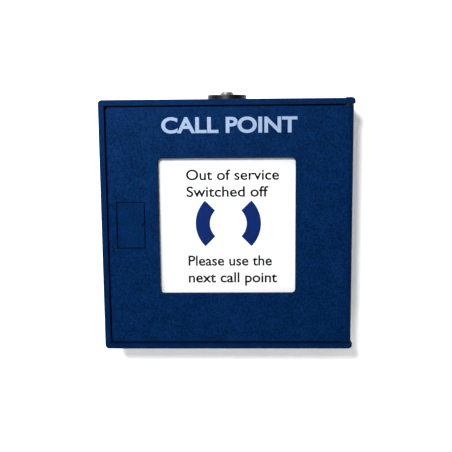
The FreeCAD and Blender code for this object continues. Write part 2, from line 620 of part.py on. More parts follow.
def make_mask():
    plate = block("mask_blank", both("mask_size / 2"), ("mask_front", "mask_back"),
                  both("mask_size / 2"))
    plate = rounded("mask_corners", plate, "mask_corner", lambda edge: runs_along(edge, "y"))
    ways = holes("mask_screw_hole", corners("mask_post", "mask_post"),
                 ("mask_front - 1", "mask_back + 1"), "screw_d + 2 * screw_hole_gap")
    ways.append(rod("mask_button_hole", "y", ("0", "0"), ("mask_front - 1", "mask_back + 1"),
                    "button_d + 2 * mask_gap"))
    piece(cut("mask", plate, *ways), "mask_plate")
    piece(screws("mask_screws", corners("mask_post", "mask_post"), "mask_front",
                 "mask_thick + 5"), "mask_screws")


# ---------------------------------------------------------------- button and switch
def make_button():
    spot = ("0", "0")
    cap = rod("button_cap", "y", spot, ("cap_front", "flange_front"), "button_d")
    cap = rounded("button_cap_round", cap, "edge_round",
                  lambda edge: lies_at(edge, y=size("cap_front")))
    flange = rod("button_flange_disc", "y", spot, ("flange_front", "flange_back"),
                 "button_flange_d")
    hub = rod("button_hub_disc", "y", spot, ("flange_back", "hub_back"), "button_hub_d")
    socket = rod("button_socket", "y", spot, ("flange_front", "hub_back + 1"), "shaft_d")
    piece(cut("button", join("button_solid", cap, flange, hub), socket), "push_button")

    shaft = rod("shaft_bar", "y", spot, ("flange_front", "shaft_back - shaft_tip"), "shaft_d")
    tip = rod("shaft_tip_nub", "y", spot, ("shaft_back - shaft_tip", "shaft_back"), "shaft_tip_d")
    piece(join("shaft", shaft, tip), "button_shaft")

    flange = rod("guide_rim", "y", spot, ("guide_front", "module_front"), "guide_flange_d")
    sleeve = rod("guide_sleeve", "y", spot, ("module_front", "module_front + guide_length"),
                 "guide_d")
    bore = rod("guide_bore", "y", spot, ("guide_front - 1", "module_front + guide_length + 1"),
               "shaft_d + 2 * running_gap")
    piece(cut("guide", join("guide_solid", flange, sleeve), bore), "guide_bush")


def make_spring():
    """An open coil between the button's flange and the guide's rim, with closed end rings."""
    wire = size("spring_wire")
    mean = size("spring_mean_d") / 2
    front = size("flange_back")
    back = size("guide_front")
    margin = 0.01
    length = back - front - 2 * margin - wire
    coils = 3
    steps = 16 * coils
    turn = 2 * math.pi * coils / steps
    line = Part.BSplineCurve()
    line.interpolate([Vector(mean * math.cos(turn * step), mean * math.sin(turn * step),
                             length * step / steps) for step in range(steps + 1)])
    begin = line.FirstParameter
    start = Part.makeCircle(wire / 2, line.value(begin), line.tangent(begin)[0])
    coil = Part.Wire([line.toShape()]).makePipeShell([Part.Wire([start])], True, True)
    spring = doc.addObject("Part::Feature", "spring")
    spring.Shape = coil
    spring.Placement = FreeCAD.Placement(Vector(0, front + margin + wire / 2, 0), turns["y"])
    piece(spring, "button_spring")


def make_switch():
    body = block("switch_case", ("switch_x - switch_width / 2", "switch_x + switch_width / 2"),
                 ("module_front - switch_depth", "module_front"), both("switch_height / 2"))
    well = rod("switch_well", "y", ("switch_x", "0"),
               ("plunger_front - plunger_travel - 1", "module_front + 1"),
               "plunger_d + 2 * running_gap")
    ways = holes("switch_screw_hole", switch_spots, ("module_front - switch_depth - 1",
                                                     "module_front + 1"),
                 "screw_d + 2 * screw_hole_gap")
    piece(cut("switch", body, well, *ways), "switch_body")
    piece(rod("plunger", "y", ("switch_x", "0"), ("plunger_front", "plunger_back"), "plunger_d"),
          "switch_plunger")
    piece(screws("switch_screws", switch_spots, "module_front - switch_depth",
                 "switch_depth + module_thick", head="switch_screw_head_d"), "switch_screws")

    arm = block("rocker_arm", ("rocker_pivot_x - rocker_left", "rocker_pivot_x + rocker_right"),
                ("rocker_front", "rocker_front + rocker_thick"), both("rocker_width / 2"))
    spot = ("rocker_pivot_x", "rocker_y")
    hub = rod("rocker_hub", "z", spot, both("rocker_width / 2"), "rocker_hub_d")
    bore = rod("rocker_bore", "z", spot, both("rocker_width / 2 + 1"),
               "rocker_pin_d + 2 * running_gap")
    piece(cut("rocker", join("rocker_solid", arm, hub), bore), "switch_rocker")
    piece(rod("rocker_axle", "z", spot, (rocker_ear_bottom[0], rocker_ear_top[1]),
              "rocker_pin_d"), "rocker_pin")


# ---------------------------------------------------------------- circuit board
def on_board(label, x, z, width, height, rise):
    """A box-shaped component standing on the front of the board, middle at (x, z)."""
    return block(label, (f"{x} - {width} / 2", f"{x} + {width} / 2"),
                 (f"board_front - {rise}", "board_front"),
                 (f"{z} - {height} / 2", f"{z} + {height} / 2"))


def make_board():
    board = block("board_blank", ("-board_left", "-board_right"), ("board_front", "board_back"),
                  both("board_height / 2"))
    ways = holes("board_screw_hole", board_spots, ("board_front - 1", "board_back + 1"),
                 "screw_d + 2 * screw_hole_gap")
    piece(cut("board", board, *ways), "circuit_board")
    piece(screws("board_screws", board_spots, "board_front", "board_thick + board_stand",
                 head="board_screw_head_d"), "board_screws")

    lamp = block("lamp_case", ("flap_x - lamp_size / 2", "flap_x + lamp_size / 2"),
                 ("lamp_front", "board_front"), ("flap_z - lamp_size / 2", "flap_z + lamp_size / 2"))
    piece(lamp, "indicator_lamp")
    pipe = rod("pipe_rod", "y", ("flap_x", "flap_z"), ("pocket_back + pipe_gap", "lamp_front"),
               "pipe_d")
    piece(pipe, "light_pipe")

    half = "key_base / 2"
    base = block("key_block", (f"key_x - {half}", f"key_x + {half}"),
                 ("key_base_front", "board_front"), (f"key_z - {half}", f"key_z + {half}"))
    well = rod("key_well", "y", ("key_x", "key_z"), ("key_base_front - 1", "board_front - 0.8"),
               "key_d + 2 * running_gap")
    piece(cut("key_body", base, well), "reset_switch")
    key = rod("key_stem", "y", ("key_x", "key_z"),
              ("key_front", "board_front - 0.8 - key_travel - 0.3"), "key_d")
    piece(key, "reset_key")

    parts = [on_board("relay_case", "relay_x", "relay_z", "relay_width", "relay_height",
                      "relay_rise"),
             rod("reservoir_can", "y", ("can_x", "can_z"), ("board_front - can_rise",
                                                            "board_front"), "can_d"),
             on_board("chip_case", "chip_x", "chip_z", "chip_size", "chip_size", "chip_rise")]
    middle = (resistor_count - 1) / 2
    parts += [on_board(f"resistor_{number}", "resistor_x",
                       f"(resistor_z + resistor_pitch * {number - middle})", "resistor_length",
                       "resistor_width", "resistor_rise") for number in range(resistor_count)]
    piece(together("board_components", *parts), "board_parts")


# ---------------------------------------------------------------- terminals
terminal_seat = "terminal_front + terminal_screw_sunk + terminal_screw_head"


def terminal_z(number):
    return f"(terminal_pitch * {number - (terminal_count - 1) / 2})"


def make_terminals():
    half = f"terminal_pitch * {terminal_count / 2}"
    body = block("terminal_housing", ("terminal_x - terminal_width / 2",
                                      "terminal_x + terminal_width / 2"),
                 ("terminal_front", "module_front"), both(half))
    ways, heads, clamps = [], [], []
    for number in range(terminal_count):
        z = terminal_z(number)
        well = ("terminal_well / 2")
        ways.append(rod(f"terminal_screw_way_{number}", "y", ("terminal_x", z),
                        ("terminal_front - 1", "terminal_front + 4"),
                        "terminal_screw_d + 2 * screw_hole_gap"))
        ways.append(block(f"terminal_wire_way_{number}",
                          ("terminal_x - 2", "terminal_x + terminal_width / 2 + 1"),
                          ("terminal_front + 3.5", "module_front - 1.5"),
                          (f"{z} - {well}", f"{z} + {well}")))
        head = rod(f"terminal_screw_{number}_head", "y", ("terminal_x", z),
                   ("terminal_front + terminal_screw_sunk", terminal_seat), "terminal_screw_d")
        slot = block(f"terminal_screw_{number}_slot", ("terminal_x - 3", "terminal_x + 3"),
                     ("terminal_front", "terminal_front + terminal_screw_sunk + slot_depth"),
                     (f"{z} - slot_width / 2", f"{z} + slot_width / 2"))
        shank = rod(f"terminal_screw_{number}_shank", "y", ("terminal_x", z),
                    (terminal_seat, f"{terminal_seat} + terminal_screw_length"), "screw_d - 0.4")
        heads.append(join(f"terminal_screw_{number}", cut(f"terminal_head_{number}", head, slot),
                          shank))
        cage = block(f"terminal_cage_{number}", ("terminal_x - 1.9", "terminal_x + 2.6"),
                     ("terminal_front + 6.2", "module_front - 1.6"),
                     (f"{z} - {well} + 0.2", f"{z} + {well} - 0.2"))
        wire_way = block(f"terminal_cage_way_{number}", ("terminal_x - 3", "terminal_x + 4"),
                         ("terminal_front + 7", "module_front - 2.2"),
                         (f"{z} - {well} + 0.9", f"{z} + {well} - 0.9"))
        clamps.append(cut(f"terminal_clamp_{number}", cage, wire_way))
    piece(cut("terminals", body, *ways), "terminal_block")
    piece(together("terminal_heads", *heads), "terminal_screws")
    piece(together("terminal_cages", *clamps), "terminal_clamps")


for make in (make_case, make_gasket, make_grommet, make_door, make_hinge, make_window, make_flap,
             make_lock, make_catch, make_module, make_mask, make_button, make_spring, make_switch,
             make_board, make_terminals):
    make()

# ---------------------------------------------------------------- checks and export
doc.recompute()
for item in doc.Objects:
    if "Invalid" in item.State or "Error" in item.State:
        raise RuntimeError(f"{item.Label} failed: {item.State}")
for item in pieces:
    if item.Shape.isNull() or not item.Shape.isValid() or not item.Shape.Solids:
        raise RuntimeError(f"{item.Label} has no valid solid")

os.makedirs("parts", exist_ok=True)
for item in pieces:
    item.Shape.exportStep(f"parts/{item.Label}.step")
    print(item.Label, len(item.Shape.Solids), "solid(s)", round(item.Shape.Volume), "mm3")
print(len(pieces), "nodes")
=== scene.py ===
import bmesh
import bpy
import math
from mathutils import Matrix, Vector


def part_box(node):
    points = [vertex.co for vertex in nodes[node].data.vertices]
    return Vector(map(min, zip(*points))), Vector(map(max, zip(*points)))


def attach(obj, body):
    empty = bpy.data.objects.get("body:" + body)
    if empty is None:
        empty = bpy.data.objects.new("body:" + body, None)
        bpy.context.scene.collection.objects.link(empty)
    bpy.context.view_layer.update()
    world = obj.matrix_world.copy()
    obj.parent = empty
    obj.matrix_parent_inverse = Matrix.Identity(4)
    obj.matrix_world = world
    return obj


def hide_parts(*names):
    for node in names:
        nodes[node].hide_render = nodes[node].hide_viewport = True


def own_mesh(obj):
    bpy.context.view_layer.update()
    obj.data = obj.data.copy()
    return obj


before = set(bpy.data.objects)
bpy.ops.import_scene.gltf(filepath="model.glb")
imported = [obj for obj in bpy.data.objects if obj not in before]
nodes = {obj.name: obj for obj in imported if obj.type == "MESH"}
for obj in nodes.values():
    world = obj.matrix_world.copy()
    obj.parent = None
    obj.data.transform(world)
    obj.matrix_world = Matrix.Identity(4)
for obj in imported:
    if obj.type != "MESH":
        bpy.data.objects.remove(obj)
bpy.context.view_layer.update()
mm = 0.001
print("frame loaded:", len(nodes), "nodes")


def rgb(hexText):
    # sRGB hex to the linear values that shaders take
    channels = [int(hexText[i:i + 2], 16) / 255 for i in (1, 3, 5)]
    return (*[c / 12.92 if c <= 0.04045 else ((c + 0.055) / 1.055) ** 2.4 for c in channels], 1)


def addNode(tree, kind, settings={}, inputs={}, out=0):
    # an input is a value, a socket or a list of sockets, and "stops" fill a colour ramp
    node = tree.nodes.new(kind)
    for name, value in settings.items():
        if name != "stops":
            setattr(node, name, value)
            continue
        points = node.color_ramp.elements
        while len(points) < len(value):
            points.new(0.5)
        for point, (position, colour) in zip(points, value):
            point.position = position
            point.color = rgb(colour)
    for name, value in inputs.items():
        for item in value if isinstance(value, list) else [value]:
            if isinstance(item, bpy.types.NodeSocket):
                tree.links.new(item, node.inputs[name])
            else:
                node.inputs[name].default_value = item
    return node.outputs[out] if node.outputs else node


def startMaterial(name):
    # an empty material, and the object's own coordinates for its patterns
    material = bpy.data.materials.new(name)
    material.use_nodes = True
    tree = material.node_tree
    tree.nodes.clear()
    return material, tree, addNode(tree, "ShaderNodeTexCoord", out="Object")


def endMaterial(material, inputs):
    # the shader with its inputs, and the output it feeds
    tree = material.node_tree
    shader = addNode(tree, "ShaderNodeBsdfPrincipled", {}, inputs)
    addNode(tree, "ShaderNodeOutputMaterial", {}, {"Surface": shader})
    return material


def perMm(sizeMm):
    # the scale at which a noise cell is about sizeMm across
    return 1 / (sizeMm * mm)


bandShare = 0.314   # a wave texture of scale 1 has one band in each 0.314 m
# the fine texture of a spark-eroded mould, drawn coarse enough to show
absTexture = {"grainMm": 0.8, "pitMm": 0.3, "blotchMm": 9, "tintMm": 1.6, "tint": 0.22,
              "rough": 0.5, "strength": 0.35}


def mouldedAbs(name, dark, middle, light):
    # moulded ABS with a spark-eroded texture: a matt skin that glitters a little under a lamp
    material, tree, place = startMaterial(name)
    rough, strength = absTexture["rough"], absTexture["strength"]
    speckle = addNode(tree, "ShaderNodeTexNoise", {}, {
        "Vector": place, "Scale": perMm(absTexture["grainMm"]), "Detail": 3, "Roughness": 0.65})
    blotch = addNode(tree, "ShaderNodeTexNoise", {}, {
        "Vector": place, "Scale": perMm(absTexture["blotchMm"]), "Detail": 2})
    tint = addNode(tree, "ShaderNodeTexNoise", {}, {
        "Vector": place, "Scale": perMm(absTexture["tintMm"]), "Detail": 2}, "Color")
    pit = addNode(tree, "ShaderNodeTexNoise", {}, {
        "Vector": place, "Scale": perMm(absTexture["pitMm"]), "Detail": 1})
    mixed = addNode(tree, "ShaderNodeMath", {"operation": "MULTIPLY_ADD"}, {
        0: blotch, 1: 0.25, 2: speckle})
    body = addNode(tree, "ShaderNodeValToRGB", {
        "stops": [(0.46, dark), (0.63, middle), (0.84, light)]}, {"Fac": mixed})
    pits = addNode(tree, "ShaderNodeBump", {}, {
        "Height": pit, "Strength": strength * 0.6, "Distance": 0.04 * mm})
    return endMaterial(material, {
        "IOR": 1.54, "Specular IOR Level": 0.015,
        "Base Color": addNode(tree, "ShaderNodeMix", {
            "data_type": "RGBA", "blend_type": "OVERLAY"}, {
            0: absTexture["tint"], 6: body, 7: tint}, 2),
        "Roughness": addNode(tree, "ShaderNodeMapRange", {}, {
            "Value": speckle, "To Min": rough - 0.08, "To Max": rough + 0.12}),
        "Normal": addNode(tree, "ShaderNodeBump", {}, {
            "Height": speckle, "Strength": strength, "Distance": 0.10 * mm, "Normal": pits})})


def patterned(name, constants, cloud, stops, grain, relief, rough=None, stretch=(1, 1, 1)):
    # colour from a soft cloud, shine and relief from a finer grain that stretch draws out;
    # cloud and grain are (mm, detail), relief is (strength, mm) and rough is (least, most)
    material, tree, place = startMaterial(name)
    soft = addNode(tree, "ShaderNodeTexNoise", {}, {
        "Vector": place, "Scale": perMm(cloud[0]), "Detail": cloud[1]})
    drawn = addNode(tree, "ShaderNodeMapping", {}, {
        "Vector": place, "Scale": tuple(1 / share for share in stretch)})
    fine = addNode(tree, "ShaderNodeTexNoise", {}, {
        "Vector": drawn, "Scale": perMm(grain[0]), "Detail": grain[1]})
    inputs = dict(constants)
    inputs["Base Color"] = addNode(tree, "ShaderNodeValToRGB", {"stops": stops}, {"Fac": soft})
    inputs["Normal"] = addNode(tree, "ShaderNodeBump", {}, {
        "Height": fine, "Strength": relief[0], "Distance": relief[1] * mm})
    if rough:
        inputs["Roughness"] = addNode(tree, "ShaderNodeMapRange", {}, {
            "Value": fine, "To Min": rough[0], "To Max": rough[1]})
    return endMaterial(material, inputs)


def plainPlastic(name, colour, shade, rough=0.4, grainMm=0.4, strength=0.12, sheen=0.5):
    # acetal, nylon and PVC mouldings: nearly even colour, a faint waxy unevenness
    return patterned(name, {"IOR": 1.48, "Specular IOR Level": sheen}, (6, 3),
                     [(0.35, shade), (0.65, colour)], (grainMm, 2), (strength, 0.05),
                     (rough - 0.06, rough + 0.08))


def metal(name, colour, shade, rough, scratchMm=0.15, stretch=(1, 1, 4 / 0.15)):
    # bare or plated metal: fine marks drawn out one way, patches of duller plating
    return patterned(name, {"Metallic": 1.0}, (3, 3), [(0.35, shade), (0.65, colour)],
                     (scratchMm, 3), (0.08, 0.03), (rough - 0.06, rough + 0.1), stretch)


def rubber(name):
    # moulded nitrile rubber: dull, dusty, with a soft bloom
    return patterned(name, {"Roughness": 0.75, "IOR": 1.52, "Specular IOR Level": 0.15}, (1.4, 4),
                     [(0.3, "#0E0E0F"), (0.7, "#19191C")], (1.4, 4), (0.2, 0.08))


def printInk(name, colour, shade):
    # screen-printed ink: a thin even film with faint mesh marks
    return patterned(name, {"Roughness": 0.5, "IOR": 1.5, "Specular IOR Level": 0.06}, (0.5, 3),
                     [(0.3, shade), (0.7, colour)], (0.5, 3), (0.1, 0.03))


def turnedNickel(name, axisPlace):
    # nickel on turned brass: rings left by the tool round the lock's own axis, then plated over
    material, tree, place = startMaterial(name)
    centred = addNode(tree, "ShaderNodeMapping", {}, {
        "Vector": place, "Location": (-axisPlace[0], -axisPlace[1], 0)})
    rings = addNode(tree, "ShaderNodeTexWave", {"wave_type": "RINGS", "rings_direction": "Z"}, {
        "Vector": centred, "Scale": bandShare * perMm(0.35), "Distortion": 0.4, "Detail": 2}, "Fac")
    # painted highlight on the post and painted shade on the flange: the colour darkens with
    # distance from the lock's axis, where 1 is 10 mm off the axis
    flat = addNode(tree, "ShaderNodeVectorMath", {"operation": "MULTIPLY"}, {
        0: centred, 1: (100, 100, 0)})
    reach = addNode(tree, "ShaderNodeVectorMath", {"operation": "LENGTH"}, {0: flat}, "Value")
    patches = addNode(tree, "ShaderNodeTexNoise", {}, {
        "Vector": place, "Scale": perMm(2.5), "Detail": 3})
    # painted shade and highlight by distance from the axis, mixed with random patches of duller
    # plating
    axisShadeAndPatches = addNode(tree, "ShaderNodeMath", {"operation": "MULTIPLY_ADD"}, {
        0: patches, 1: 0.12, 2: reach})
    return endMaterial(material, {
        "Metallic": 1.0,
        "Base Color": addNode(tree, "ShaderNodeValToRGB", {"stops": [
            (0.40, "#74747A"), (0.52, "#545458"), (0.85, "#48484C"), (1.0, "#2E2E31")]}, {
            "Fac": axisShadeAndPatches}),
        "Roughness": addNode(tree, "ShaderNodeMapRange", {}, {
            "Value": rings, "To Min": 0.4, "To Max": 0.52}),
        "Normal": addNode(tree, "ShaderNodeBump", {}, {
            "Height": rings, "Strength": 0.12, "Distance": 0.04 * mm})})


def floatGlass(name):
    # clear float glass: nearly all see-through, with a faint smear in its shine
    material, tree, place = startMaterial(name)
    smear = addNode(tree, "ShaderNodeTexNoise", {}, {
        "Vector": place, "Scale": perMm(18), "Detail": 3})
    return endMaterial(material, {
        "IOR": 1.5, "Base Color": rgb("#1C2C26"), "Alpha": 0.06, "Specular IOR Level": 0.35,
        "Roughness": addNode(tree, "ShaderNodeMapRange", {}, {
            "Value": smear, "To Min": 0.02, "To Max": 0.07})})


def circuitLacquer(name):
    # green lacquer over woven glass fibre: the weave shows through as a faint grid
    material, tree, place = startMaterial(name)
    weave, cross = [addNode(tree, "ShaderNodeTexWave", {"bands_direction": direction}, {
        "Vector": place, "Scale": bandShare * perMm(0.5), "Distortion": 0.3}, "Fac")
        for direction in "XZ"]
    cloth = addNode(tree, "ShaderNodeMath", {"operation": "MULTIPLY"}, {0: weave, 1: cross})
    ripple = addNode(tree, "ShaderNodeTexNoise", {}, {
        "Vector": place, "Scale": perMm(2), "Detail": 3})
    return endMaterial(material, {
        "Roughness": 0.3, "IOR": 1.5, "Specular IOR Level": 0.3,
        "Base Color": addNode(tree, "ShaderNodeValToRGB", {
            "stops": [(0.1, "#0A4720"), (0.9, "#125A2C")]}, {"Fac": cloth}),
        "Normal": addNode(tree, "ShaderNodeBump", {}, {
            "Height": ripple, "Strength": 0.1, "Distance": 0.04 * mm})})


lockPlace = sum(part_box("lock_nut"), Vector()) / 2
finishes = {
    "case": mouldedAbs("spark eroded blue ABS case", "#00102B", "#001C3F", "#07234E"),
    "door": mouldedAbs("spark eroded blue ABS door", "#00112E", "#001D42", "#082551"),
    "rubber": rubber("moulded nitrile rubber"),
    "glass": floatGlass("clear float glass"),
    "nickel": turnedNickel("nickel plated turned brass", lockPlace),
    "zinc": metal("bright zinc plated steel", "#C6C8CC", "#A9ABB2", 0.32),
    "wire": metal("drawn spring steel wire", "#9FA0A2", "#7E7F83", 0.28, 0.1, (1, 30, 1)),
    "brass": metal("milled brass", "#D8B365", "#B9924A", 0.3),
    "blackAcetal": plainPlastic("black moulded acetal", "#131315", "#0D0D0F", sheen=0.15),
    "whiteAcetal": plainPlastic("natural white acetal", "#E9E6DC", "#DEDACE", 0.38),
    "mask": plainPlastic("white moulded polycarbonate", "#C6C6C2", "#C1C1BD", 0.42, 0.6, 0.2),
    "insert": plainPlastic("white calendered PVC sheet", "#FFFFFF", "#FDFDFD", 0.45, 0.3, 0.05),
    "titleInk": printInk("pale blue screen print", "#8799B2", "#788BA5"),
    "textInk": printInk("dark print on PVC", "#0C0C12", "#08080C"),
    "signInk": printInk("blue print on PVC", "#002064", "#001C5A"),
    "board": circuitLacquer("green lacquered circuit board"),
    "darkSteel": metal("blackened steel", "#303033", "#1E1E20", 0.4),
    "track": plainPlastic("lacquered copper track", "#2F8A4C", "#277A42", 0.3),
    "lens": plainPlastic("frosted lens acrylic", "#BAC4BC", "#A9B5AB", 0.25),
    "redAcetal": plainPlastic("red moulded acetal", "#A3161A", "#8E1014", 0.35),
    "blackEpoxy": plainPlastic("black moulded epoxy", "#1D1D1F", "#141416", 0.55, 0.25, 0.25),
    "sleeve": plainPlastic("dark blue shrink sleeve", "#16213F", "#101A33", 0.3),
    "tan": plainPlastic("tan resistor lacquer", "#C8A878", "#B99663", 0.35),
    "relay": plainPlastic("sky blue relay cover", "#2D6FB0", "#2663A0", 0.4),
    "terminalGrey": plainPlastic("grey moulded polyamide", "#A9ABA6", "#9B9D98", 0.5, 0.5, 0.2),
}
nodeFinish = {
    "case": ["back_box"],
    "door": ["door_shell", "service_flap"],
    "rubber": ["case_gasket", "cable_grommet", "window_seal"],
    "glass": ["glass_pane"],
    "nickel": ["lock_body", "lock_nut", "lock_spindle"],
    "darkSteel": ["hinge_pins", "flap_pins"],
    "zinc": ["holder_screws", "lock_cam", "cam_screw", "door_catch",
             "catch_screws", "module_screws", "mask_screws", "button_shaft", "switch_screws",
             "rocker_pin", "board_screws", "terminal_screws"],
    "wire": ["button_spring"],
    "brass": ["terminal_clamps"],
    "blackAcetal": ["hinge_bushes", "glass_holder", "module_base", "push_button", "switch_body",
                    "reset_switch", "board_parts"],
    "whiteAcetal": ["guide_bush", "switch_plunger", "switch_rocker", "reset_key",
                    "terminal_block"],
    "mask": ["mask_plate"],
    "insert": ["sign_insert"],
    "board": ["circuit_board"],
    "lens": ["indicator_lamp", "light_pipe"],
}
for finish, names in nodeFinish.items():
    for name in names:
        nodes[name].data.materials.clear()
        nodes[name].data.materials.append(finishes[finish])
print("finishes given to", sum(len(names) for names in nodeFinish.values()), "nodes")


def meshObject(name, mesh, material):
    mesh.materials.clear()
    mesh.materials.append(material)
    made = bpy.data.objects.new(name, mesh)
    bpy.context.scene.collection.objects.link(made)
    return made


def flatPiece(name, made, material):
    # a piece from a bmesh with every face shaded flat
    mesh = bpy.data.meshes.new(name)
    made.to_mesh(mesh)
    made.free()
    return meshObject(name, mesh, material)


def printedText(name, text, look, width, middle, baseline, front, material):
    # flat letters in the built-in face, scaled to their cap height and width, lying against front
    curve = bpy.data.curves.new(name, "FONT")
    curve.body = text
    curve.size = 1.0
    curve.offset = look["boldness"]
    curve.extrude = 0.5
    curve.align_x = "LEFT"
    maker = bpy.data.objects.new(name, curve)
    bpy.context.scene.collection.objects.link(maker)
    bpy.context.view_layer.update()
    mesh = bpy.data.meshes.new_from_object(
        maker.evaluated_get(bpy.context.evaluated_depsgraph_get()))
    bpy.data.objects.remove(maker)
    xs = [v.co.x for v in mesh.vertices]
    scaleX = width / (max(xs) - min(xs))
    scaleZ = look["capHeight"] / (builtInCap + 2 * look["boldness"])
    centre = (max(xs) + min(xs)) / 2
    for v in mesh.vertices:
        x, y, z = v.co
        v.co = ((x - centre) * scaleX + middle,
                front - look["thick"] * (z + 0.5),
                (y + look["boldness"]) * scaleZ + baseline)
    mesh.update()
    return meshObject(name, mesh, material)


builtInCap = 0.682   # height of a capital of the built-in face at size 1
title = {"words": "CALL POINT", "capHeight": 8.2 * mm, "width": 70.4 * mm, "middle": 1.5 * mm,
         "baseline": 49.1 * mm, "thick": 0.06 * mm, "boldness": 0.028}
doorLow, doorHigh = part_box("door_shell")
titlePrint = printedText("titlePrint", title["words"], title, title["width"], title["middle"],
                         title["baseline"], doorLow.y, finishes["titleInk"])
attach(titlePrint, "door")

sign = {
    # each line's words, width, middle and baseline in mm
    "lines": [("Out of service", 49.1, 2.95, 24.3), ("Switched off", 43.3, 0.15, 15.4),
              ("Please use the", 44.7, 1.35, -21.7), ("next call point", 47.5, 2.75, -30.9)],
    "capHeight": 5.6 * mm, "boldness": 0.018, "thick": 0.04 * mm,
    "thinner": 0.1 * mm,   # the sheet sits this far behind the glass, to leave room for its ink
    "rounding": 0.05 * mm,
    "ringMiddle": (0.54 * mm, 1.15 * mm), "ringOuter": 17.4 * mm, "ringInner": 9.75 * mm,
    "ringHalfAngle": 45, "ringSteps": 24,
}


def insertSheet(low, high, front):
    # the white sheet, a little thinner than the slot that holds it
    made = bmesh.new()
    bmesh.ops.create_cube(made, size=1)
    for v in made.verts:
        v.co = ((low.x + high.x) / 2 + v.co.x * (high.x - low.x),
                (front + high.y) / 2 + v.co.y * (high.y - front),
                (low.z + high.z) / 2 + v.co.z * (high.z - low.z))
    bmesh.ops.bevel(made, geom=made.edges[:], offset=sign["rounding"], segments=2,
                    affect="EDGES")
    return flatPiece("insertSheet", made, finishes["insert"])


def ringSegments(front):
    # two facing parts of a ring, left and right of its middle
    made = bmesh.new()
    middleX, middleZ = sign["ringMiddle"]
    for side in (0, 180):
        columns = []
        for step in range(sign["ringSteps"] + 1):
            share = step / sign["ringSteps"] * 2 - 1
            angle = math.radians(side + share * sign["ringHalfAngle"])
            columns.append([made.verts.new((middleX + radius * math.cos(angle), y,
                                            middleZ + radius * math.sin(angle)))
                            for radius in (sign["ringInner"], sign["ringOuter"])
                            for y in (front, front - sign["thick"])])
        for a, b in zip(columns, columns[1:]):
            for i, j in ((0, 1), (1, 3), (3, 2), (2, 0)):
                made.faces.new((a[i], a[j], b[j], b[i]))
        for end in (columns[0], columns[-1]):
            made.faces.new((end[0], end[1], end[3], end[2]))
    bmesh.ops.recalc_face_normals(made, faces=made.faces[:])
    return flatPiece("ringSegments", made, finishes["signInk"])


insertLow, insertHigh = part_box("sign_insert")
sheetFront = insertLow.y + sign["thinner"]
sheet = insertSheet(insertLow, insertHigh, sheetFront)
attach(sheet, "door")
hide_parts("sign_insert")
for number, (words, width, middle, baseline) in enumerate(sign["lines"], start=1):
    line = printedText(f"signLine{number}", words, sign, width * mm, middle * mm, baseline * mm,
                       sheetFront, finishes["textInk"])
    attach(line, "door")
rings = ringSegments(sheetFront)
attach(rings, "door")
print("title and insert printed")


def finishMesh(name, made, *materials):
    # a finished piece from a bmesh: doubles merged, faces outward, hard edges kept crisp
    bmesh.ops.remove_doubles(made, verts=made.verts[:], dist=0.0002 * mm)
    bmesh.ops.recalc_face_normals(made, faces=made.faces[:])
    mesh = bpy.data.meshes.new(name)
    made.to_mesh(mesh)
    made.free()
    for material in materials:
        mesh.materials.append(material)
    return placeMesh(name, mesh)


def placeMesh(name, mesh):
    # edges sharper than this many degrees stay crisp
    mesh.shade_smooth()
    mesh.set_sharp_from_angle(angle=math.radians(35))
    made = bpy.data.objects.new(name, mesh)
    bpy.context.scene.collection.objects.link(made)
    return made


def addBox(made, low, high, rounding, slot):
    # a box between two corners with softened edges, all in mm
    corners = bmesh.ops.create_cube(made, size=1)["verts"]
    for v in corners:
        v.co = [(a + (c + 0.5) * (b - a)) * mm for a, b, c in zip(low, high, v.co)]
    for face in {face for v in corners for face in v.link_faces}:
        face.material_index = slot
    bmesh.ops.bevel(made, geom=list({edge for v in corners for edge in v.link_edges}),
                    offset=rounding * mm, segments=2, affect="EDGES")


def softened(profile, rounding, steps=3):
    # the same outline with its inner corners rounded
    out = [profile[0]]
    for before, corner, after in zip(profile, profile[1:], profile[2:]):
        a, c, b = Vector(before), Vector(corner), Vector(after)
        # 0.45 of a side at most, so that two rounded corners never meet
        reach = min(rounding, (a - c).length * 0.45, (b - c).length * 0.45)
        start, end = c + (a - c).normalized() * reach, c + (b - c).normalized() * reach
        for step in range(steps + 1):
            t = step / steps
            out.append(tuple(start * (1 - t) ** 2 + c * 2 * t * (1 - t) + end * t * t))
    return out + [profile[-1]]


def addTurned(made, profile, middle, axis="y", bands=(), steps=48):
    # a turned shape: (radius, along) points in mm about an axis line through middle, in mm too
    # bands says from which distance along the axis each material slot starts
    rings = []
    for radius, along in profile:
        ring = []
        for number in range(steps if radius > 0 else 1):
            angle = 2 * math.pi * number / steps
            across, up = radius * math.cos(angle), radius * math.sin(angle)
            spot = {"x": (along, across, up), "y": (across, along, up)}[axis]
            ring.append(made.verts.new(Vector(spot) * mm + Vector(middle) * mm))
        rings.append(ring)
    pairs = list(zip(range(len(rings)), range(1, len(rings))))
    if profile[0][0] > 0:
        pairs.append((len(rings) - 1, 0))
    for a, b in pairs:
        between = (profile[a][1] + profile[b][1]) / 2
        slot = [0, *(slot for start, slot in bands if between >= start)][-1]
        first, second = rings[a], rings[b]
        for i in range(steps):
            j = (i + 1) % steps
            corners = [first[i % len(first)], first[j % len(first)],
                       second[j % len(second)], second[i % len(second)]]
            corners = list(dict.fromkeys(corners))
            if len(corners) > 2:
                made.faces.new(corners).material_index = slot


def turnedPiece(name, profile, middle, rounding, material):
    made = bmesh.new()
    addTurned(made, softened(profile, rounding), middle)
    return finishMesh(name, made, material)


def startNodes(name, sizes):
    # a Geometry Nodes tree that takes seed points and one named input for each size
    tree = bpy.data.node_groups.new(name, "GeometryNodeTree")
    face = tree.interface
    face.new_socket("Geometry", in_out="INPUT", socket_type="NodeSocketGeometry")
    for label, kind in sizes.items():
        face.new_socket(label, in_out="INPUT", socket_type="NodeSocket" + kind)
    face.new_socket("Material", in_out="INPUT", socket_type="NodeSocketMaterial")
    face.new_socket("Geometry", in_out="OUTPUT", socket_type="NodeSocketGeometry")
    return tree, tree.nodes.new("NodeGroupInput").outputs


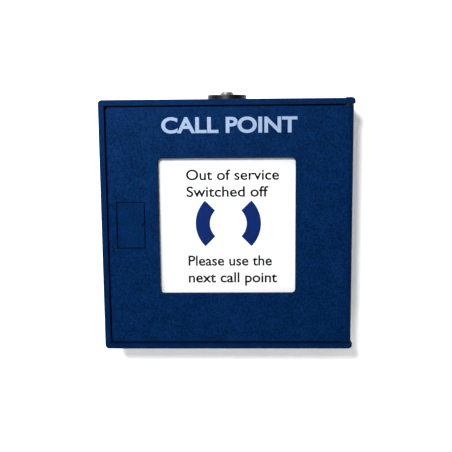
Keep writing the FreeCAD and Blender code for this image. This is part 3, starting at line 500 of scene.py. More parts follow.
def endNodes(tree, geometry, material):
    whole = addNode(tree, "GeometryNodeRealizeInstances", {}, {"Geometry": geometry})
    coloured = addNode(tree, "GeometryNodeSetMaterial", {}, {
        "Geometry": whole, "Material": material})
    addNode(tree, "NodeGroupOutput", {}, {"Geometry": coloured})
    return tree


def runNodes(name, tree, points, material, sizes):
    # the tree run once on its seed points and kept as a plain mesh
    seeds = bpy.data.meshes.new(name)
    seeds.from_pydata([tuple(point) for point in points], [], [])
    holder = bpy.data.objects.new(name + "Seeds", seeds)
    bpy.context.scene.collection.objects.link(holder)
    modifier = holder.modifiers.new("build", "NODES")
    modifier.node_group = tree
    values = dict(sizes, Material=material)
    for item in tree.interface.items_tree:
        if item.in_out == "INPUT" and item.name in values:
            modifier[item.identifier] = values[item.name]
    bpy.context.view_layer.update()
    mesh = bpy.data.meshes.new_from_object(
        holder.evaluated_get(bpy.context.evaluated_depsgraph_get()))
    mesh.name = name
    bpy.data.objects.remove(holder)
    if not mesh.materials:
        mesh.materials.append(material)
    return placeMesh(name, mesh)


def gridSpots(low, high, inset, countX, countZ):
    # evenly spaced (x, z) places, the outer ones inset from the box's sides
    def spread(a, b, count):
        if count == 1:
            return [(a + b) / 2]
        return [a + inset + (b - a - 2 * inset) * k / (count - 1) for k in range(count)]
    return [(x, z) for z in spread(low.z, high.z, countZ) for x in spread(low.x, high.x, countX)]

def screwTree():
    # pan head with a slot or a cross, on a shank with thread rings; it stands up along Z
    tree, size = startNodes("panScrew", {
        "Head Radius": "Float", "Head Height": "Float", "Head Middle": "Vector", "Dome": "Vector",
        "Slot": "Vector", "Cross Slot": "Vector", "Head Top": "Vector", "Cross Head": "Bool",
        "Shank Radius": "Float", "Length": "Float", "Shank Middle": "Vector",
        "Thread Steps": "Int", "Thread Step": "Float", "Turn": "Vector", "Seed": "Int"})
    blank = addNode(tree, "GeometryNodeMeshCylinder", {}, {
        "Vertices": 40, "Radius": size["Head Radius"], "Depth": size["Head Height"]})
    blank = addNode(tree, "GeometryNodeTransform", {}, {
        "Geometry": blank, "Translation": size["Head Middle"]})
    dome = addNode(tree, "GeometryNodeMeshUVSphere", {}, {
        "Segments": 48, "Rings": 24, "Radius": 1.0})
    dome = addNode(tree, "GeometryNodeTransform", {}, {"Geometry": dome, "Scale": size["Dome"]})
    head = addNode(tree, "GeometryNodeMeshBoolean", {"operation": "INTERSECT"}, {
        "Mesh 2": [dome, blank]})
    first, second = [addNode(tree, "GeometryNodeTransform", {}, {
        "Geometry": addNode(tree, "GeometryNodeMeshCube", {}, {"Size": size[cutter]}),
        "Translation": size["Head Top"]}) for cutter in ("Slot", "Cross Slot")]
    second = addNode(tree, "GeometryNodeSwitch", {"input_type": "GEOMETRY"}, {
        "Switch": size["Cross Head"], "True": second})
    for cutter in (first, second):
        head = addNode(tree, "GeometryNodeMeshBoolean", {"operation": "DIFFERENCE"}, {
            "Mesh 1": head, "Mesh 2": cutter})
    shank = addNode(tree, "GeometryNodeMeshCylinder", {}, {
        "Vertices": 24, "Side Segments": size["Thread Steps"], "Radius": size["Shank Radius"],
        "Depth": size["Length"]})
    shank = addNode(tree, "GeometryNodeTransform", {}, {
        "Geometry": shank, "Translation": size["Shank Middle"]})
    place = addNode(tree, "GeometryNodeInputPosition")
    height = addNode(tree, "ShaderNodeSeparateXYZ", {}, {0: place}, "Z")
    swing = addNode(tree, "ShaderNodeMath", {"operation": "PINGPONG"}, {
        0: height, 1: size["Thread Step"]})
    ring = addNode(tree, "ShaderNodeMath", {"operation": "DIVIDE"}, {
        0: swing, 1: size["Thread Step"]})
    # 0 on a crest and 1 in a root, where the shank is 0.16 narrower
    narrow = addNode(tree, "ShaderNodeMath", {"operation": "MULTIPLY_ADD"}, {
        0: ring, 1: -0.16, 2: 1.0})
    shape = addNode(tree, "ShaderNodeCombineXYZ", {}, {0: narrow, 1: narrow, 2: 1.0})
    shank = addNode(tree, "GeometryNodeSetPosition", {}, {
        "Geometry": shank, "Position": addNode(tree, "ShaderNodeVectorMath", {
            "operation": "MULTIPLY"}, {0: place, 1: shape})})
    screw = addNode(tree, "GeometryNodeJoinGeometry", {}, {0: [head, shank]})
    driven = addNode(tree, "GeometryNodeInstanceOnPoints", {}, {
        "Points": size["Geometry"], "Instance": screw, "Rotation": size["Turn"]})
    angle = addNode(tree, "FunctionNodeRandomValue", {"data_type": "FLOAT"}, {
        2: 0.0, 3: math.pi, "Seed": size["Seed"]}, 1)
    driven = addNode(tree, "GeometryNodeRotateInstances", {}, {
        "Instances": driven, "Rotation": addNode(tree, "ShaderNodeCombineXYZ", {}, {2: angle})})
    return endNodes(tree, driven, size["Material"])


screwSets = {
    # CAD node: body, head diameter and height, shank, spots across and up, side its heads face,
    # cross or slot
    "holder_screws": ("door", 5.6, 0.9, 3.0, 2, 2, "back", True),
    "catch_screws": ("door", 5.6, 0.9, 3.0, 2, 1, "back", True),
    "module_screws": ("case", 5.6, 1.8, 3.0, 2, 2, "front", True),
    "mask_screws": ("case", 5.6, 1.8, 3.0, 2, 2, "front", True),
    "switch_screws": ("case", 4.6, 1.8, 3.0, 1, 2, "front", True),
    "board_screws": ("case", 5.0, 1.8, 3.0, 2, 2, "front", True),
    "terminal_screws": ("case", 4.0, 2.5, 2.6, 1, 8, "front", False),
    "cam_screw": ("lock", 8.5, 1.4, 2.4, 1, 1, "below", True),
}
screwMaking = {"threadPitch": 0.5 * mm, "crossLength": 0.58, "crossWidth": 0.16, "crossDepth": 0.6,
               "slotLength": 1.2, "slotWidth": 0.19, "slotDepth": 0.4,   # shares of the head
               "domeWidth": 1.1}   # wider than the head, which gives its rim a soft shoulder
facings = {"front": (math.pi / 2, 0, 0), "back": (-math.pi / 2, 0, 0), "below": (math.pi, 0, 0)}


def driveScrews(node, seed, body, headWidth, headHeight, shank, countX, countZ, side, cross):
    low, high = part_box(node)
    spots = gridSpots(low, high, headWidth / 2 * mm, countX, countZ)
    tall = headHeight * mm
    if side == "front":
        points, length = [(x, low.y + tall, z) for x, z in spots], high.y - low.y - tall
    elif side == "back":
        points, length = [(x, high.y - tall, z) for x, z in spots], high.y - low.y - tall
    else:
        middle = (low + high) / 2
        points, length = [(middle.x, middle.y, low.z + tall)], high.z - low.z - tall
    kind = "cross" if cross else "slot"
    slotLength, slotWidth = [screwMaking[kind + share] * headWidth * mm
                             for share in ("Length", "Width")]
    slotDepth = 2 * screwMaking[kind + "Depth"] * tall
    headRadius, steps = headWidth * mm / 2, 2 * round(length / screwMaking["threadPitch"])
    dome = headRadius * screwMaking["domeWidth"]
    made = runNodes(pieceName(node), panScrew, points, finishes["zinc"], {
        "Head Radius": headRadius, "Head Height": tall, "Head Middle": (0, 0, tall / 2),
        "Head Top": (0, 0, tall), "Dome": (dome, dome, tall),
        "Slot": (slotLength, slotWidth, slotDepth),
        "Cross Slot": (slotWidth, slotLength, slotDepth), "Cross Head": cross,
        "Shank Radius": shank * mm / 2, "Length": length, "Shank Middle": (0, 0, -length / 2),
        "Thread Steps": steps, "Thread Step": length / steps, "Turn": facings[side],
        "Seed": seed})
    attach(made, body)
    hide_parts(node)


def pieceName(node):
    words = node.split("_")
    return words[0] + "".join(word.capitalize() for word in words[1:]) + "Made"


panScrew = screwTree()
for number, (node, facts) in enumerate(screwSets.items()):
    driveScrews(node, number, *facts)
print("screws driven:", len(screwSets), "sets")


def springTree():
    # an open coil whose end turns close up, swept along a spiral
    tree, size = startNodes("closedCoil", {
        "Radius": "Float", "Height": "Float", "Turns": "Float", "Wire Radius": "Float",
        "Start": "Vector", "Turn": "Vector"})
    spiral = addNode(tree, "GeometryNodeCurveSpiral", {}, {
        "Resolution": 48, "Rotations": size["Turns"], "Start Radius": size["Radius"],
        "End Radius": size["Radius"], "Height": size["Height"]})
    eased = addNode(tree, "ShaderNodeMapRange", {"interpolation_type": "SMOOTHSTEP"}, {
        "Value": addNode(tree, "GeometryNodeSplineParameter"), "From Min": 0.04,
        "From Max": 0.96})
    place = addNode(tree, "GeometryNodeInputPosition")
    x, y = [addNode(tree, "ShaderNodeSeparateXYZ", {}, {0: place}, axis) for axis in "XY"]
    lifted = addNode(tree, "ShaderNodeMath", {"operation": "MULTIPLY"}, {
        0: eased, 1: size["Height"]})
    spiral = addNode(tree, "GeometryNodeSetPosition", {}, {
        "Geometry": spiral,
        "Position": addNode(tree, "ShaderNodeCombineXYZ", {}, {0: x, 1: y, 2: lifted})})
    section = addNode(tree, "GeometryNodeCurvePrimitiveCircle", {}, {
        "Resolution": 12, "Radius": size["Wire Radius"]})
    coil = addNode(tree, "GeometryNodeCurveToMesh", {}, {
        "Curve": spiral, "Profile Curve": section, "Fill Caps": True})
    coil = addNode(tree, "GeometryNodeTransform", {}, {
        "Geometry": coil, "Translation": size["Start"], "Rotation": size["Turn"]})
    return endNodes(tree, coil, size["Material"])


spring = {"wire": 0.8 * mm, "turns": 4.6, "travel": 4 * mm, "inset": 0.05 * mm}
springLow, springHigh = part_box("button_spring")
springLength = springHigh.y - springLow.y
coil = runNodes("buttonSpringMade", springTree(), [(0, 0, 0)], finishes["wire"], {
    "Radius": (springHigh.x - springLow.x - spring["wire"]) / 2 - spring["inset"],
    "Height": springLength - spring["wire"], "Turns": spring["turns"],
    "Wire Radius": spring["wire"] / 2,
    "Start": (0, springHigh.y - spring["wire"] / 2, 0), "Turn": facings["front"]})
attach(coil, "case")
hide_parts("button_spring")
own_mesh(coil)


def edges(node):
    # a node's front, back and outer radius across X, and its middle line, all in mm
    low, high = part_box(node)
    middle = (low + high) / 2 / mm
    return low.y / mm, high.y / mm, (high.x - low.x) / 2 / mm, (middle.x, 0, middle.z)


button = {"capRadius": 9.5, "flange": 2.0, "hub": 3.0, "hubRadius": 6.0, "bore": 4.0,
          "dishRadius": 7.6, "dish": 0.9, "crown": 0.6, "rounding": 0.45}
front, back, outer, middle = edges("push_button")
flangeBack = back - button["hub"]
flangeFront = flangeBack - button["flange"]
cap = turnedPiece("pushButtonMade", [
    (0, front + button["dish"]), (button["bore"], front + button["dish"] * 0.75),
    (button["dishRadius"], front + 0.12), (button["dishRadius"] + button["crown"], front),
    (button["capRadius"], front), (button["capRadius"], flangeFront), (outer, flangeFront),
    (outer, flangeBack), (button["hubRadius"], flangeBack), (button["hubRadius"], back),
    (button["bore"], back), (button["bore"], flangeFront), (0, flangeFront)],
    (0, 0, middle[2]), button["rounding"], finishes["blackAcetal"])
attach(cap, "button")
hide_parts("push_button")

resetKey = {"dish": 0.35, "rimInner": 1.3, "rimOuter": 1.7, "taper": 0.6, "chamfer": 0.3,
            "rounding": 0.25}
front, back, outer, middle = edges("reset_key")
key = turnedPiece("resetKeyMade", [
    (0, front + resetKey["dish"]), (resetKey["rimInner"], front + 0.3),
    (resetKey["rimOuter"], front), (outer, front), (outer, back - resetKey["taper"]),
    (outer - resetKey["chamfer"], back), (0, back)], middle, resetKey["rounding"],
    finishes["redAcetal"])
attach(key, "reset")
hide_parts("reset_key")

lightPipe = {"dome": [(0, 0), (1.3, 0.12), (2.1, 0.5)], "shoulder": 1.3, "taper": 0.5,
             "chamfer": 0.35, "rounding": 0.3}
front, back, outer, middle = edges("light_pipe")
pipe = turnedPiece("lightPipeMade", [
    *[(radius, front + fall) for radius, fall in lightPipe["dome"]],
    (outer, front + lightPipe["shoulder"]), (outer, back - lightPipe["taper"]),
    (outer - lightPipe["chamfer"], back), (0, back)], middle, lightPipe["rounding"],
    finishes["lens"])
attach(pipe, "case")
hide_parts("light_pipe")

grommet = {"way": 4.5, "neck": 8.0, "rim": 1.5, "lip": 0.5, "wall": 1.6, "taper": 0.8,
           "rounding": 0.5}
front, back, outer, middle = edges("cable_grommet")
rimBack = front + grommet["rim"]
sleeve = turnedPiece("cableGrommetMade", [
    (grommet["way"], front + grommet["lip"]), (grommet["way"] + grommet["lip"], front),
    (outer, front), (outer, rimBack), (grommet["neck"], rimBack), (grommet["neck"], back),
    (grommet["way"] + grommet["wall"], back), (grommet["way"], back - grommet["taper"])],
    middle, grommet["rounding"], finishes["rubber"])
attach(sleeve, "case")
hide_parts("cable_grommet")
print("turned pieces made")

mask = {"bezelInner": 10.1, "bezelOuter": 12.6, "bezelRise": 0.9, "innerChamfer": (0.6, 0.2),
        "outerChamfer": (0.9, 0.2), "bezelRounding": 0.25, "arrowReach": (15.5, 20.5),
        "arrowHalf": 3.6, "arrowNotch": 1.4, "inkThick": 0.05}
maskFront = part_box("mask_plate")[0].y / mm
bezelFront = maskFront - mask["bezelRise"]
innerAcross, innerDown = mask["innerChamfer"]
outerAcross, outerDown = mask["outerChamfer"]
bezel = turnedPiece("buttonBezel", [
    (mask["bezelInner"], maskFront), (mask["bezelInner"], bezelFront + innerDown),
    (mask["bezelInner"] + innerAcross, bezelFront),
    (mask["bezelOuter"] - outerAcross, bezelFront), (mask["bezelOuter"], maskFront - outerDown),
    (mask["bezelOuter"], maskFront)], (0, 0, 0), mask["bezelRounding"], finishes["mask"])
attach(bezel, "case")


def addPlate(made, outline, low, high):
    # a flat plate of one outline of (x, z) points, from y low to y high, all in mm
    layers = [[made.verts.new(Vector((x, y, z)) * mm) for x, z in outline] for y in (low, high)]
    made.faces.new(layers[0])
    made.faces.new(layers[1][::-1])
    for i in range(len(outline)):
        made.faces.new((layers[0][i - 1], layers[1][i - 1], layers[1][i], layers[0][i]))


made = bmesh.new()
near, far = mask["arrowReach"]
arrow = [(near, 0), (far, mask["arrowHalf"]), (far - mask["arrowNotch"], 0),
         (far, -mask["arrowHalf"])]
for quarter in range(4):
    turn = Matrix.Rotation(math.pi / 2 * quarter, 2)
    addPlate(made, [tuple(turn.transposed() @ Vector(point)) for point in arrow],
             maskFront - mask["inkThick"], maskFront)
arrows = finishMesh("maskArrows", made, finishes["signInk"])
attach(arrows, "case")
print("mask finished")

board = {
    "relay": {"low": (-34, -24.6, 13), "high": (-19, -18.6, 24), "foot": 0.8, "footRounding": 0.15,
              "coverInset": 0.3, "coverStep": 0.15, "coverRounding": 0.45, "rules": (0.3, 0.7),
              "ruleInset": 2, "ruleHalf": 0.2, "ruleProud": (0.1, 0.2)},
    "can": {"x": -41, "z": -21, "radius": 4.0, "rise": 5.5, "sunk": 0.18, "rounding": 0.2,
            # insets from its radius, with the height off the board and the depth below its top
            "foot": [(0.2, 0), (0, 0.3), (0, 1.0), (0.35, 1.4), (0, 1.8)],
            "head": [(0, 0.35), (0.35, 0), (0.8, 0), (0.9, 0.15)],
            "bareInset": 0.75, "bareDepth": 0.3,   # the part its sleeve leaves bare
            "vents": ((2.2, 0.16), (0.16, 2.2)), "ventProud": (0.1, 0.2)},
    "chip": {"x": -35, "z": -3, "width": 6.4, "height": 10, "rise": 1.8, "gap": 0.15,
             "rounding": 0.18, "dot": 0.4, "dotInset": 1, "dotProud": (-0.02, 0.1)},
    "legs": {"count": 8, "pitch": 1.2, "reach": 1.75, "drop": 0.8, "width": 0.45, "thick": 0.15,
             "lift": 0.9, "hidden": 0.1, "bend": 0.55},   # the bend as a share of the reach
    "resistors": {"x": -24, "z": -11, "pitch": 5, "count": 5, "lift": 0.8, "rounding": 0.08,
                  "lead": (2.0, 2.9), "leadHeight": (0.95, 0.6), "leadHalf": 0.25,
                  "foot": 2.75, "footHalf": (0.2, 0.22), "footHeight": 0.9},
}
# half of a resistor's outline as (distance from its middle, radius), and where its bands start
resistorHalf = [(0.2, 0.62), (0.5, 0.62), (0.8, 0.62), (1.1, 0.78), (1.6, 0.78)]
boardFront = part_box("circuit_board")[0].y / mm


def boardParts():
    made = bmesh.new()
    black, sleeveBlue, tin, tan, relayBlue, white, gold = range(7)
    relay = board["relay"]
    (x0, y0, z0), (x1, y1, z1) = relay["low"], relay["high"]
    inset, foot = relay["coverInset"], y1 - relay["foot"]
    addBox(made, (x0, foot, z0), (x1, y1, z1), relay["footRounding"], black)
    addBox(made, (x0 + inset, y0 + relay["coverStep"], z0 + inset),
           (x1 - inset, foot, z1 - inset), relay["coverRounding"], relayBlue)
    inset, half, (near, far) = relay["ruleInset"], relay["ruleHalf"], relay["ruleProud"]
    for share in relay["rules"]:   # two printed rules across the relay's cover
        z = z0 + (z1 - z0) * share
        addBox(made, (x0 + inset, y0 + near, z - half), (x1 - inset, y0 + far, z + half),
               0.02, white)

    can = board["can"]
    x, z, radius, top = can["x"], can["z"], can["radius"], boardFront - can["rise"]
    outline = [(0, boardFront), *[(radius - inset, boardFront - up) for inset, up in can["foot"]],
               *[(radius - inset, top + down) for inset, down in can["head"]]]
    start = len(made.faces)
    addTurned(made, softened(outline, can["rounding"]) + [
        (outline[-1][0], top + can["sunk"]), (0, top + can["sunk"])], (x, 0, z), steps=40)
    made.faces.ensure_lookup_table()
    for face in made.faces[start:]:
        centre = face.calc_center_median() / mm
        bare = (math.hypot(centre.x - x, centre.z - z) < radius - can["bareInset"]
                and centre.y < top + can["bareDepth"])
        face.material_index = tin if bare else sleeveBlue
    near, far = can["ventProud"]
    for halfX, halfZ in can["vents"]:   # the vent cross pressed into its top
        addBox(made, (x - halfX, top + near, z - halfZ), (x + halfX, top + far, z + halfZ),
               0.03, black)

    chip = board["chip"]
    x, z, halfX, halfZ = chip["x"], chip["z"], chip["width"] / 2, chip["height"] / 2
    chipFront = boardFront - chip["rise"]
    near, far = [chipFront + proud for proud in chip["dotProud"]]
    addBox(made, (x - halfX, chipFront, z - halfZ),
           (x + halfX, boardFront - chip["gap"], z + halfZ), chip["rounding"], black)
    addTurned(made, [(0, near), (chip["dot"], near), (chip["dot"], far), (0, far)],
              (x - halfX + chip["dotInset"], 0, z + halfZ - chip["dotInset"]),
              bands=((-math.inf, white),), steps=16)

    parts = board["resistors"]
    x, rounding, half, (halfX, halfZ) = [
        parts[key] for key in ("x", "rounding", "leadHalf", "footHalf")]
    outline = [(0, -2.1), (0.62, -2.0), *[(radius, -along) for along, radius in
                                          reversed(resistorHalf)],
               *[(radius, along) for along, radius in resistorHalf], (0.62, 2.0), (0, 2.1)]
    bands = ((-math.inf, tan), (-0.8, sleeveBlue), (-0.5, tan), (-0.2, black), (0.2, tan),
             (0.5, gold), (0.8, tan))
    for number in range(parts["count"]):
        z = parts["z"] + parts["pitch"] * (number - (parts["count"] - 1) / 2)
        addTurned(made, outline, (x, boardFront - parts["lift"], z), "x", bands, 20)
        for side in (-1, 1):
            low, high = sorted(x + side * reach for reach in parts["lead"])
            front, back = [boardFront - height for height in parts["leadHeight"]]
            addBox(made, (low, front, z - half), (high, back, z + half), rounding, tin)
            foot = x + side * parts["foot"]
            addBox(made, (foot - halfX, boardFront - parts["footHeight"], z - halfZ),
                   (foot + halfX, boardFront, z + halfZ), rounding, tin)
    return finishMesh("boardPartsMade", made, *[finishes[finish] for finish in (
        "blackEpoxy", "sleeve", "zinc", "tan", "relay", "mask", "brass")])


def legTree():
    # bent legs down both sides of a chip, drawn along an S-shaped path
    tree, size = startNodes("bentLegs", {
        "Shoulder": "Vector", "Knee": "Vector", "Foot": "Vector", "Width": "Float",
        "Thick": "Float", "Middle": "Vector"})
    path = addNode(tree, "GeometryNodeCurvePrimitiveBezierSegment", {}, {
        "Resolution": 12, "Start": (0, 0, 0), "Start Handle": size["Shoulder"],
        "End Handle": size["Knee"], "End": size["Foot"]})
    section = addNode(tree, "GeometryNodeCurvePrimitiveQuadrilateral", {}, {
        "Width": size["Thick"], "Height": size["Width"]})
    leg = addNode(tree, "GeometryNodeCurveToMesh", {}, {
        "Curve": path, "Profile Curve": section, "Fill Caps": True})
    row = addNode(tree, "GeometryNodeInstanceOnPoints", {}, {
        "Points": size["Geometry"], "Instance": leg})
    # the other side's row is this one turned half round, then tipped over to face the board
    other = addNode(tree, "GeometryNodeTransform", {}, {
        "Geometry": row, "Rotation": (0, 0, math.pi)})
    other = addNode(tree, "GeometryNodeTransform", {}, {
        "Geometry": other, "Rotation": (math.pi, 0, 0)})
    whole = addNode(tree, "GeometryNodeJoinGeometry", {}, {0: [row, other]})
    placed = addNode(tree, "GeometryNodeTransform", {}, {
        "Geometry": whole, "Translation": size["Middle"]})
    return endNodes(tree, placed, size["Material"])


tracks = {
    # corner points of each track on the board, in mm from the frame's origin, as (x, z)
    "routes": [
        [(-54, 22), (-54, 8), (-50, 8)], [(-52, 22), (-52, 12), (-46, 12), (-46, 2), (-40, 2)],
        [(-50, 26), (-38, 26), (-38, 20), (-34, 20)], [(-48, 24), (-40, 24), (-40, 16), (-34, 16)],
        [(-54, -6), (-48, -6), (-48, 0), (-40, 0)], [(-54, -10), (-46, -10), (-46, -2), (-40, -2)],
        [(-47, -19), (-45, -19), (-45, -12), (-42, -12), (-42, -4), (-40, -4)],
        [(-47, -23), (-43, -27), (-24, -27), (-17, -20), (-17, 10), (-20, 13)],
        [(-54, -25), (-50, -29), (-22, -29)], [(-30, 1), (-27, 1), (-25, 4), (-25, 12)],
        [(-30, -1), (-27, -1)], [(-30, -6), (-27, -6)], [(-36, -8), (-36, -16)],
        [(-33, -8), (-33, -21), (-27, -21)], [(-21, -1), (-19, 1), (-19, 9), (-22, 12)],
    ],
    "width": 0.7, "rise": 0.06, "padRadius": 0.9,
}


def boardTracks():
    # each run is a flat strip just proud of the board, with a round pad at both ends
    made = bmesh.new()
    half, top = tracks["width"] / 2, boardFront - tracks["rise"]
    for route in tracks["routes"]:
        for a, b in zip(route, route[1:]):
            along = (Vector(b) - Vector(a)).normalized() * half
            side = Vector((-along.y, along.x))
            start, end = Vector(a) - along, Vector(b) + along
            addPlate(made, [start - side, start + side, end + side, end - side], top, boardFront)
        for x, z in (route[0], route[-1]):
            # the pad is a hair prouder than the strip, so that their faces don't share a plane
            addTurned(made, [(0, top - 0.01), (tracks["padRadius"], top - 0.01),
                             (tracks["padRadius"], boardFront), (0, boardFront)],
                      (x, 0, z), steps=20)
    return finishMesh("boardTracks", made, finishes["track"])


printed = boardTracks()
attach(printed, "case")
parts = boardParts()
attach(parts, "case")
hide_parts("board_parts")
chip, leg = board["chip"], board["legs"]
bendAt = leg["reach"] * leg["bend"] * mm
legs = runNodes("chipLegs", legTree(), [
    ((chip["width"] / 2 - leg["hidden"]) * mm, 0, leg["pitch"] * (k - (leg["count"] - 1) / 2) * mm)
    for k in range(leg["count"])], finishes["zinc"], {
        "Shoulder": (bendAt, 0, 0), "Knee": (bendAt, leg["drop"] * mm, 0),
        "Foot": (leg["reach"] * mm, leg["drop"] * mm, 0), "Width": leg["width"] * mm,
        "Thick": leg["thick"] * mm,
        "Middle": (chip["x"] * mm, (boardFront - leg["lift"]) * mm, chip["z"] * mm)})
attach(legs, "case")
print("board parts made")


def terminalTree():
    # one moulded housing with its screw way and wire entry, repeated along the row
    tree, size = startNodes("terminalRow", {
        "Housing": "Vector", "Mouth": "Vector", "Way Radius": "Float", "Way Depth": "Float",
        "Funnel Radius": "Float", "Funnel Depth": "Float", "Entry": "Vector",
        "Entry Middle": "Vector", "Web": "Vector", "Web Middle": "Vector"})
    housing = addNode(tree, "GeometryNodeMeshCube", {}, {"Size": size["Housing"]})
    way = addNode(tree, "GeometryNodeMeshCylinder", {}, {
        "Vertices": 32, "Radius": size["Way Radius"], "Depth": size["Way Depth"]})
    way = addNode(tree, "GeometryNodeTransform", {}, {
        "Geometry": way, "Rotation": (math.pi / 2, 0, 0), "Translation": size["Mouth"]})
    funnel = addNode(tree, "GeometryNodeMeshCone", {}, {
        "Vertices": 32, "Radius Top": size["Way Radius"], "Radius Bottom": size["Funnel Radius"],
        "Depth": size["Funnel Depth"]})
    funnel = addNode(tree, "GeometryNodeTransform", {}, {
        "Geometry": funnel, "Rotation": (-math.pi / 2, 0, 0), "Translation": size["Mouth"]})
    entry = addNode(tree, "GeometryNodeMeshCube", {}, {"Size": size["Entry"]})
    entry = addNode(tree, "GeometryNodeTransform", {}, {
        "Geometry": entry, "Translation": size["Entry Middle"]})
    for cutter in (way, funnel, entry):
        housing = addNode(tree, "GeometryNodeMeshBoolean", {"operation": "DIFFERENCE"}, {
            "Mesh 1": housing, "Mesh 2": cutter})
    row = addNode(tree, "GeometryNodeInstanceOnPoints", {}, {
        "Points": size["Geometry"], "Instance": housing})
    web = addNode(tree, "GeometryNodeMeshCube", {}, {"Size": size["Web"]})
    web = addNode(tree, "GeometryNodeTransform", {}, {
        "Geometry": web, "Translation": size["Web Middle"]})
    whole = addNode(tree, "GeometryNodeJoinGeometry", {}, {0: [row, web]})
    return endNodes(tree, whole, size["Material"])


terminals = {"count": 8, "groove": 0.5 * mm, "screwWay": 4.4 * mm, "wayDepth": 4 * mm,
             "entryWidth": 4.4 * mm, "entryHeight": 4.6 * mm, "webThick": 1.5 * mm,
             "webInset": (1.2 * mm, 0.2 * mm), "webBack": 1.0 * mm,
             # shares of the screw way, its depth, and the housing's width and depth
             "funnelWidth": 0.62, "funnelDepth": 0.3, "entryPlace": (0.35, 0.1)}
rowLow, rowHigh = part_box("terminal_block")
rowMiddle = (rowLow + rowHigh) / 2
rowSize = rowHigh - rowLow
pitch = rowSize.z / terminals["count"]
insetX, insetZ = terminals["webInset"]
entryX, entryY = terminals["entryPlace"]
screwWay, wayDepth = terminals["screwWay"], terminals["wayDepth"]
row = runNodes("terminalBlockMade", terminalTree(), [
    (rowMiddle.x, rowMiddle.y, rowLow.z + pitch * (k + 0.5)) for k in range(terminals["count"])],
    finishes["terminalGrey"], {
        "Housing": (rowSize.x, rowSize.y, pitch - terminals["groove"]),
        "Mouth": (0, -rowSize.y / 2, 0), "Way Radius": screwWay / 2, "Way Depth": 2 * wayDepth,
        "Funnel Radius": screwWay * terminals["funnelWidth"],
        "Funnel Depth": wayDepth * terminals["funnelDepth"],
        "Entry": (rowSize.x, terminals["entryWidth"], terminals["entryHeight"]),
        "Entry Middle": (rowSize.x * entryX, rowSize.y * entryY, 0),
        "Web": (rowSize.x - insetX, terminals["webThick"], rowSize.z - insetZ),
        "Web Middle": (rowMiddle.x, rowHigh.y - terminals["webBack"], rowMiddle.z)})
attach(row, "case")
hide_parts("terminal_block")
print("terminals made")


def ribTree():
    # thin stiffening ribs standing on the inner face, one at each seed point
    tree, size = startNodes("doorRibs", {"Rib": "Vector"})
    bar = addNode(tree, "GeometryNodeMeshCube", {}, {"Size": size["Rib"]})
    rows = addNode(tree, "GeometryNodeInstanceOnPoints", {}, {
        "Points": size["Geometry"], "Instance": bar})
    return endNodes(tree, rows, size["Material"])


ribs = {"width": 1.0 * mm, "rise": 2.4 * mm, "length": 8.5 * mm, "root": 0.1 * mm,
        "upper": (-50, -42, 22, 40, 48), "lower": (-50, -42, -14, 0, 14, 42, 48),
        "inset": 6.9 * mm}
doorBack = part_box("window_seal")[0].y   # the door's inner face
ribPoints = [(x * mm, doorBack + ribs["rise"] / 2 - ribs["root"], z) for key, z in (
    ("upper", doorHigh.z - ribs["inset"]), ("lower", doorLow.z + ribs["inset"]))
    for x in ribs[key]]
stiffeners = runNodes("doorRibs", ribTree(), ribPoints, finishes["door"], {
    "Rib": (ribs["width"], ribs["rise"], ribs["length"])})
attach(stiffeners, "door")
print("door ribs made")

studio = {"wallGap": 0.4 * mm, "wallTop": 1.6, "floorDrop": 500 * mm, "reach": 3.0, "bend": 0.28,
          "bendSteps": 16, "cutOut": 0.0635, "backPower": 9, "backSize": 0.4,
          "backPlace": (0.3, 0.8, 0.4), "keyPower": 5.7, "keySize": 0.11,
          "keyPlace": (-0.128, -0.75, 0.285), "topPower": 0.62, "topSize": 0.1,
          "topPlace": (-0.12, -0.17, 0.20), "skyStrength": 0.18, "wallGlow": 0.2}


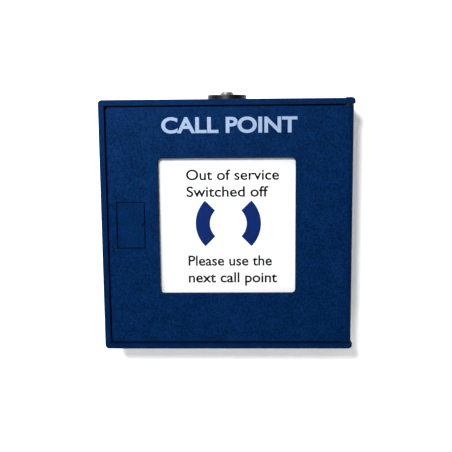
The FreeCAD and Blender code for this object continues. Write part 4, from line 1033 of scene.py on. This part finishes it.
def backdrop():
    # wall and floor in one sheet with a swept bend; the wall is cut out behind the box
    made = bmesh.new()
    cut, reach, drop, bend = (studio[key] for key in ("cutOut", "reach", "floorDrop", "bend"))
    profile = [(studio["wallGap"], z) for z in (studio["wallTop"], cut, -cut, bend - drop)]
    for step in range(1, studio["bendSteps"] + 1):
        angle = math.pi / 2 * step / studio["bendSteps"]
        profile.append((studio["wallGap"] - bend * (1 - math.cos(angle)),
                        bend * (1 - math.sin(angle)) - drop))
    profile.append((-reach, -drop))
    rows = [[made.verts.new((x, y, z)) for x in (-reach, -cut, cut, reach)] for y, z in profile]
    for number, (a, b) in enumerate(zip(rows, rows[1:])):
        for column in range(3):
            if (number, column) != (1, 1):
                made.faces.new((a[column], b[column], b[column + 1], a[column + 1]))
    material, tree, place = startMaterial("white painted backdrop")
    cloud = addNode(tree, "ShaderNodeTexNoise", {}, {
        "Vector": place, "Scale": perMm(60), "Detail": 2})
    paint = addNode(tree, "ShaderNodeBsdfPrincipled", {}, {
        "Roughness": 0.9, "Specular IOR Level": 0.0, "Emission Color": rgb("#FFFFFF"),
        "Emission Strength": studio["wallGlow"], "Base Color": addNode(
            tree, "ShaderNodeValToRGB", {"stops": [(0.3, "#FBFBFB"), (0.7, "#FFFFFF")]},
            {"Fac": cloud})})
    # the paper is one-sided, so that the back of the box can be looked at through it
    addNode(tree, "ShaderNodeOutputMaterial", {}, {"Surface": addNode(
        tree, "ShaderNodeMixShader", {}, {
            0: addNode(tree, "ShaderNodeNewGeometry", out="Backfacing"), 1: paint,
            2: addNode(tree, "ShaderNodeBsdfTransparent")})})
    sheet = flatPiece("backdrop", made, material)
    sheet.data.shade_smooth()
    return sheet


backdrop()
for name in ("key", "back", "top"):
    lamp = bpy.data.lights.new(name + "Light", "AREA")
    lamp.shape = "DISK"
    lamp.size = studio[name + "Size"]
    lamp.energy = studio[name + "Power"]
    made = bpy.data.objects.new(name + "Light", lamp)
    made.location = studio[name + "Place"]
    made.visible_camera = False
    made.rotation_euler = (-made.location).to_track_quat("-Z", "Y").to_euler()
    bpy.context.scene.collection.objects.link(made)

world = bpy.data.worlds.new("studioSky")
world.use_nodes = True
world.node_tree.nodes["Background"].inputs["Color"].default_value = (1, 1, 1, 1)
world.node_tree.nodes["Background"].inputs["Strength"].default_value = studio["skyStrength"]
bpy.context.scene.world = world
bpy.context.scene.view_settings.view_transform = "Standard"

view = {"place": (10.9, -436.2, 59.1), "target": (-0.58, -36.0, 0.42), "roll": -0.51,
        "lens": 61.2}   # mm, the roll in degrees
camera = bpy.data.objects.new("camera", bpy.data.cameras.new("camera"))
camera.data.lens = view["lens"]
camera.data.sensor_width = 36
camera.data.clip_start = 0.01
camera.location = Vector(view["place"]) * mm
aim = (Vector(view["target"]) * mm - camera.location).to_track_quat("-Z", "Y").to_matrix()
camera.rotation_euler = (aim @ Matrix.Rotation(math.radians(view["roll"]), 3, "Z")).to_euler()
bpy.context.scene.collection.objects.link(camera)
bpy.context.scene.camera = camera
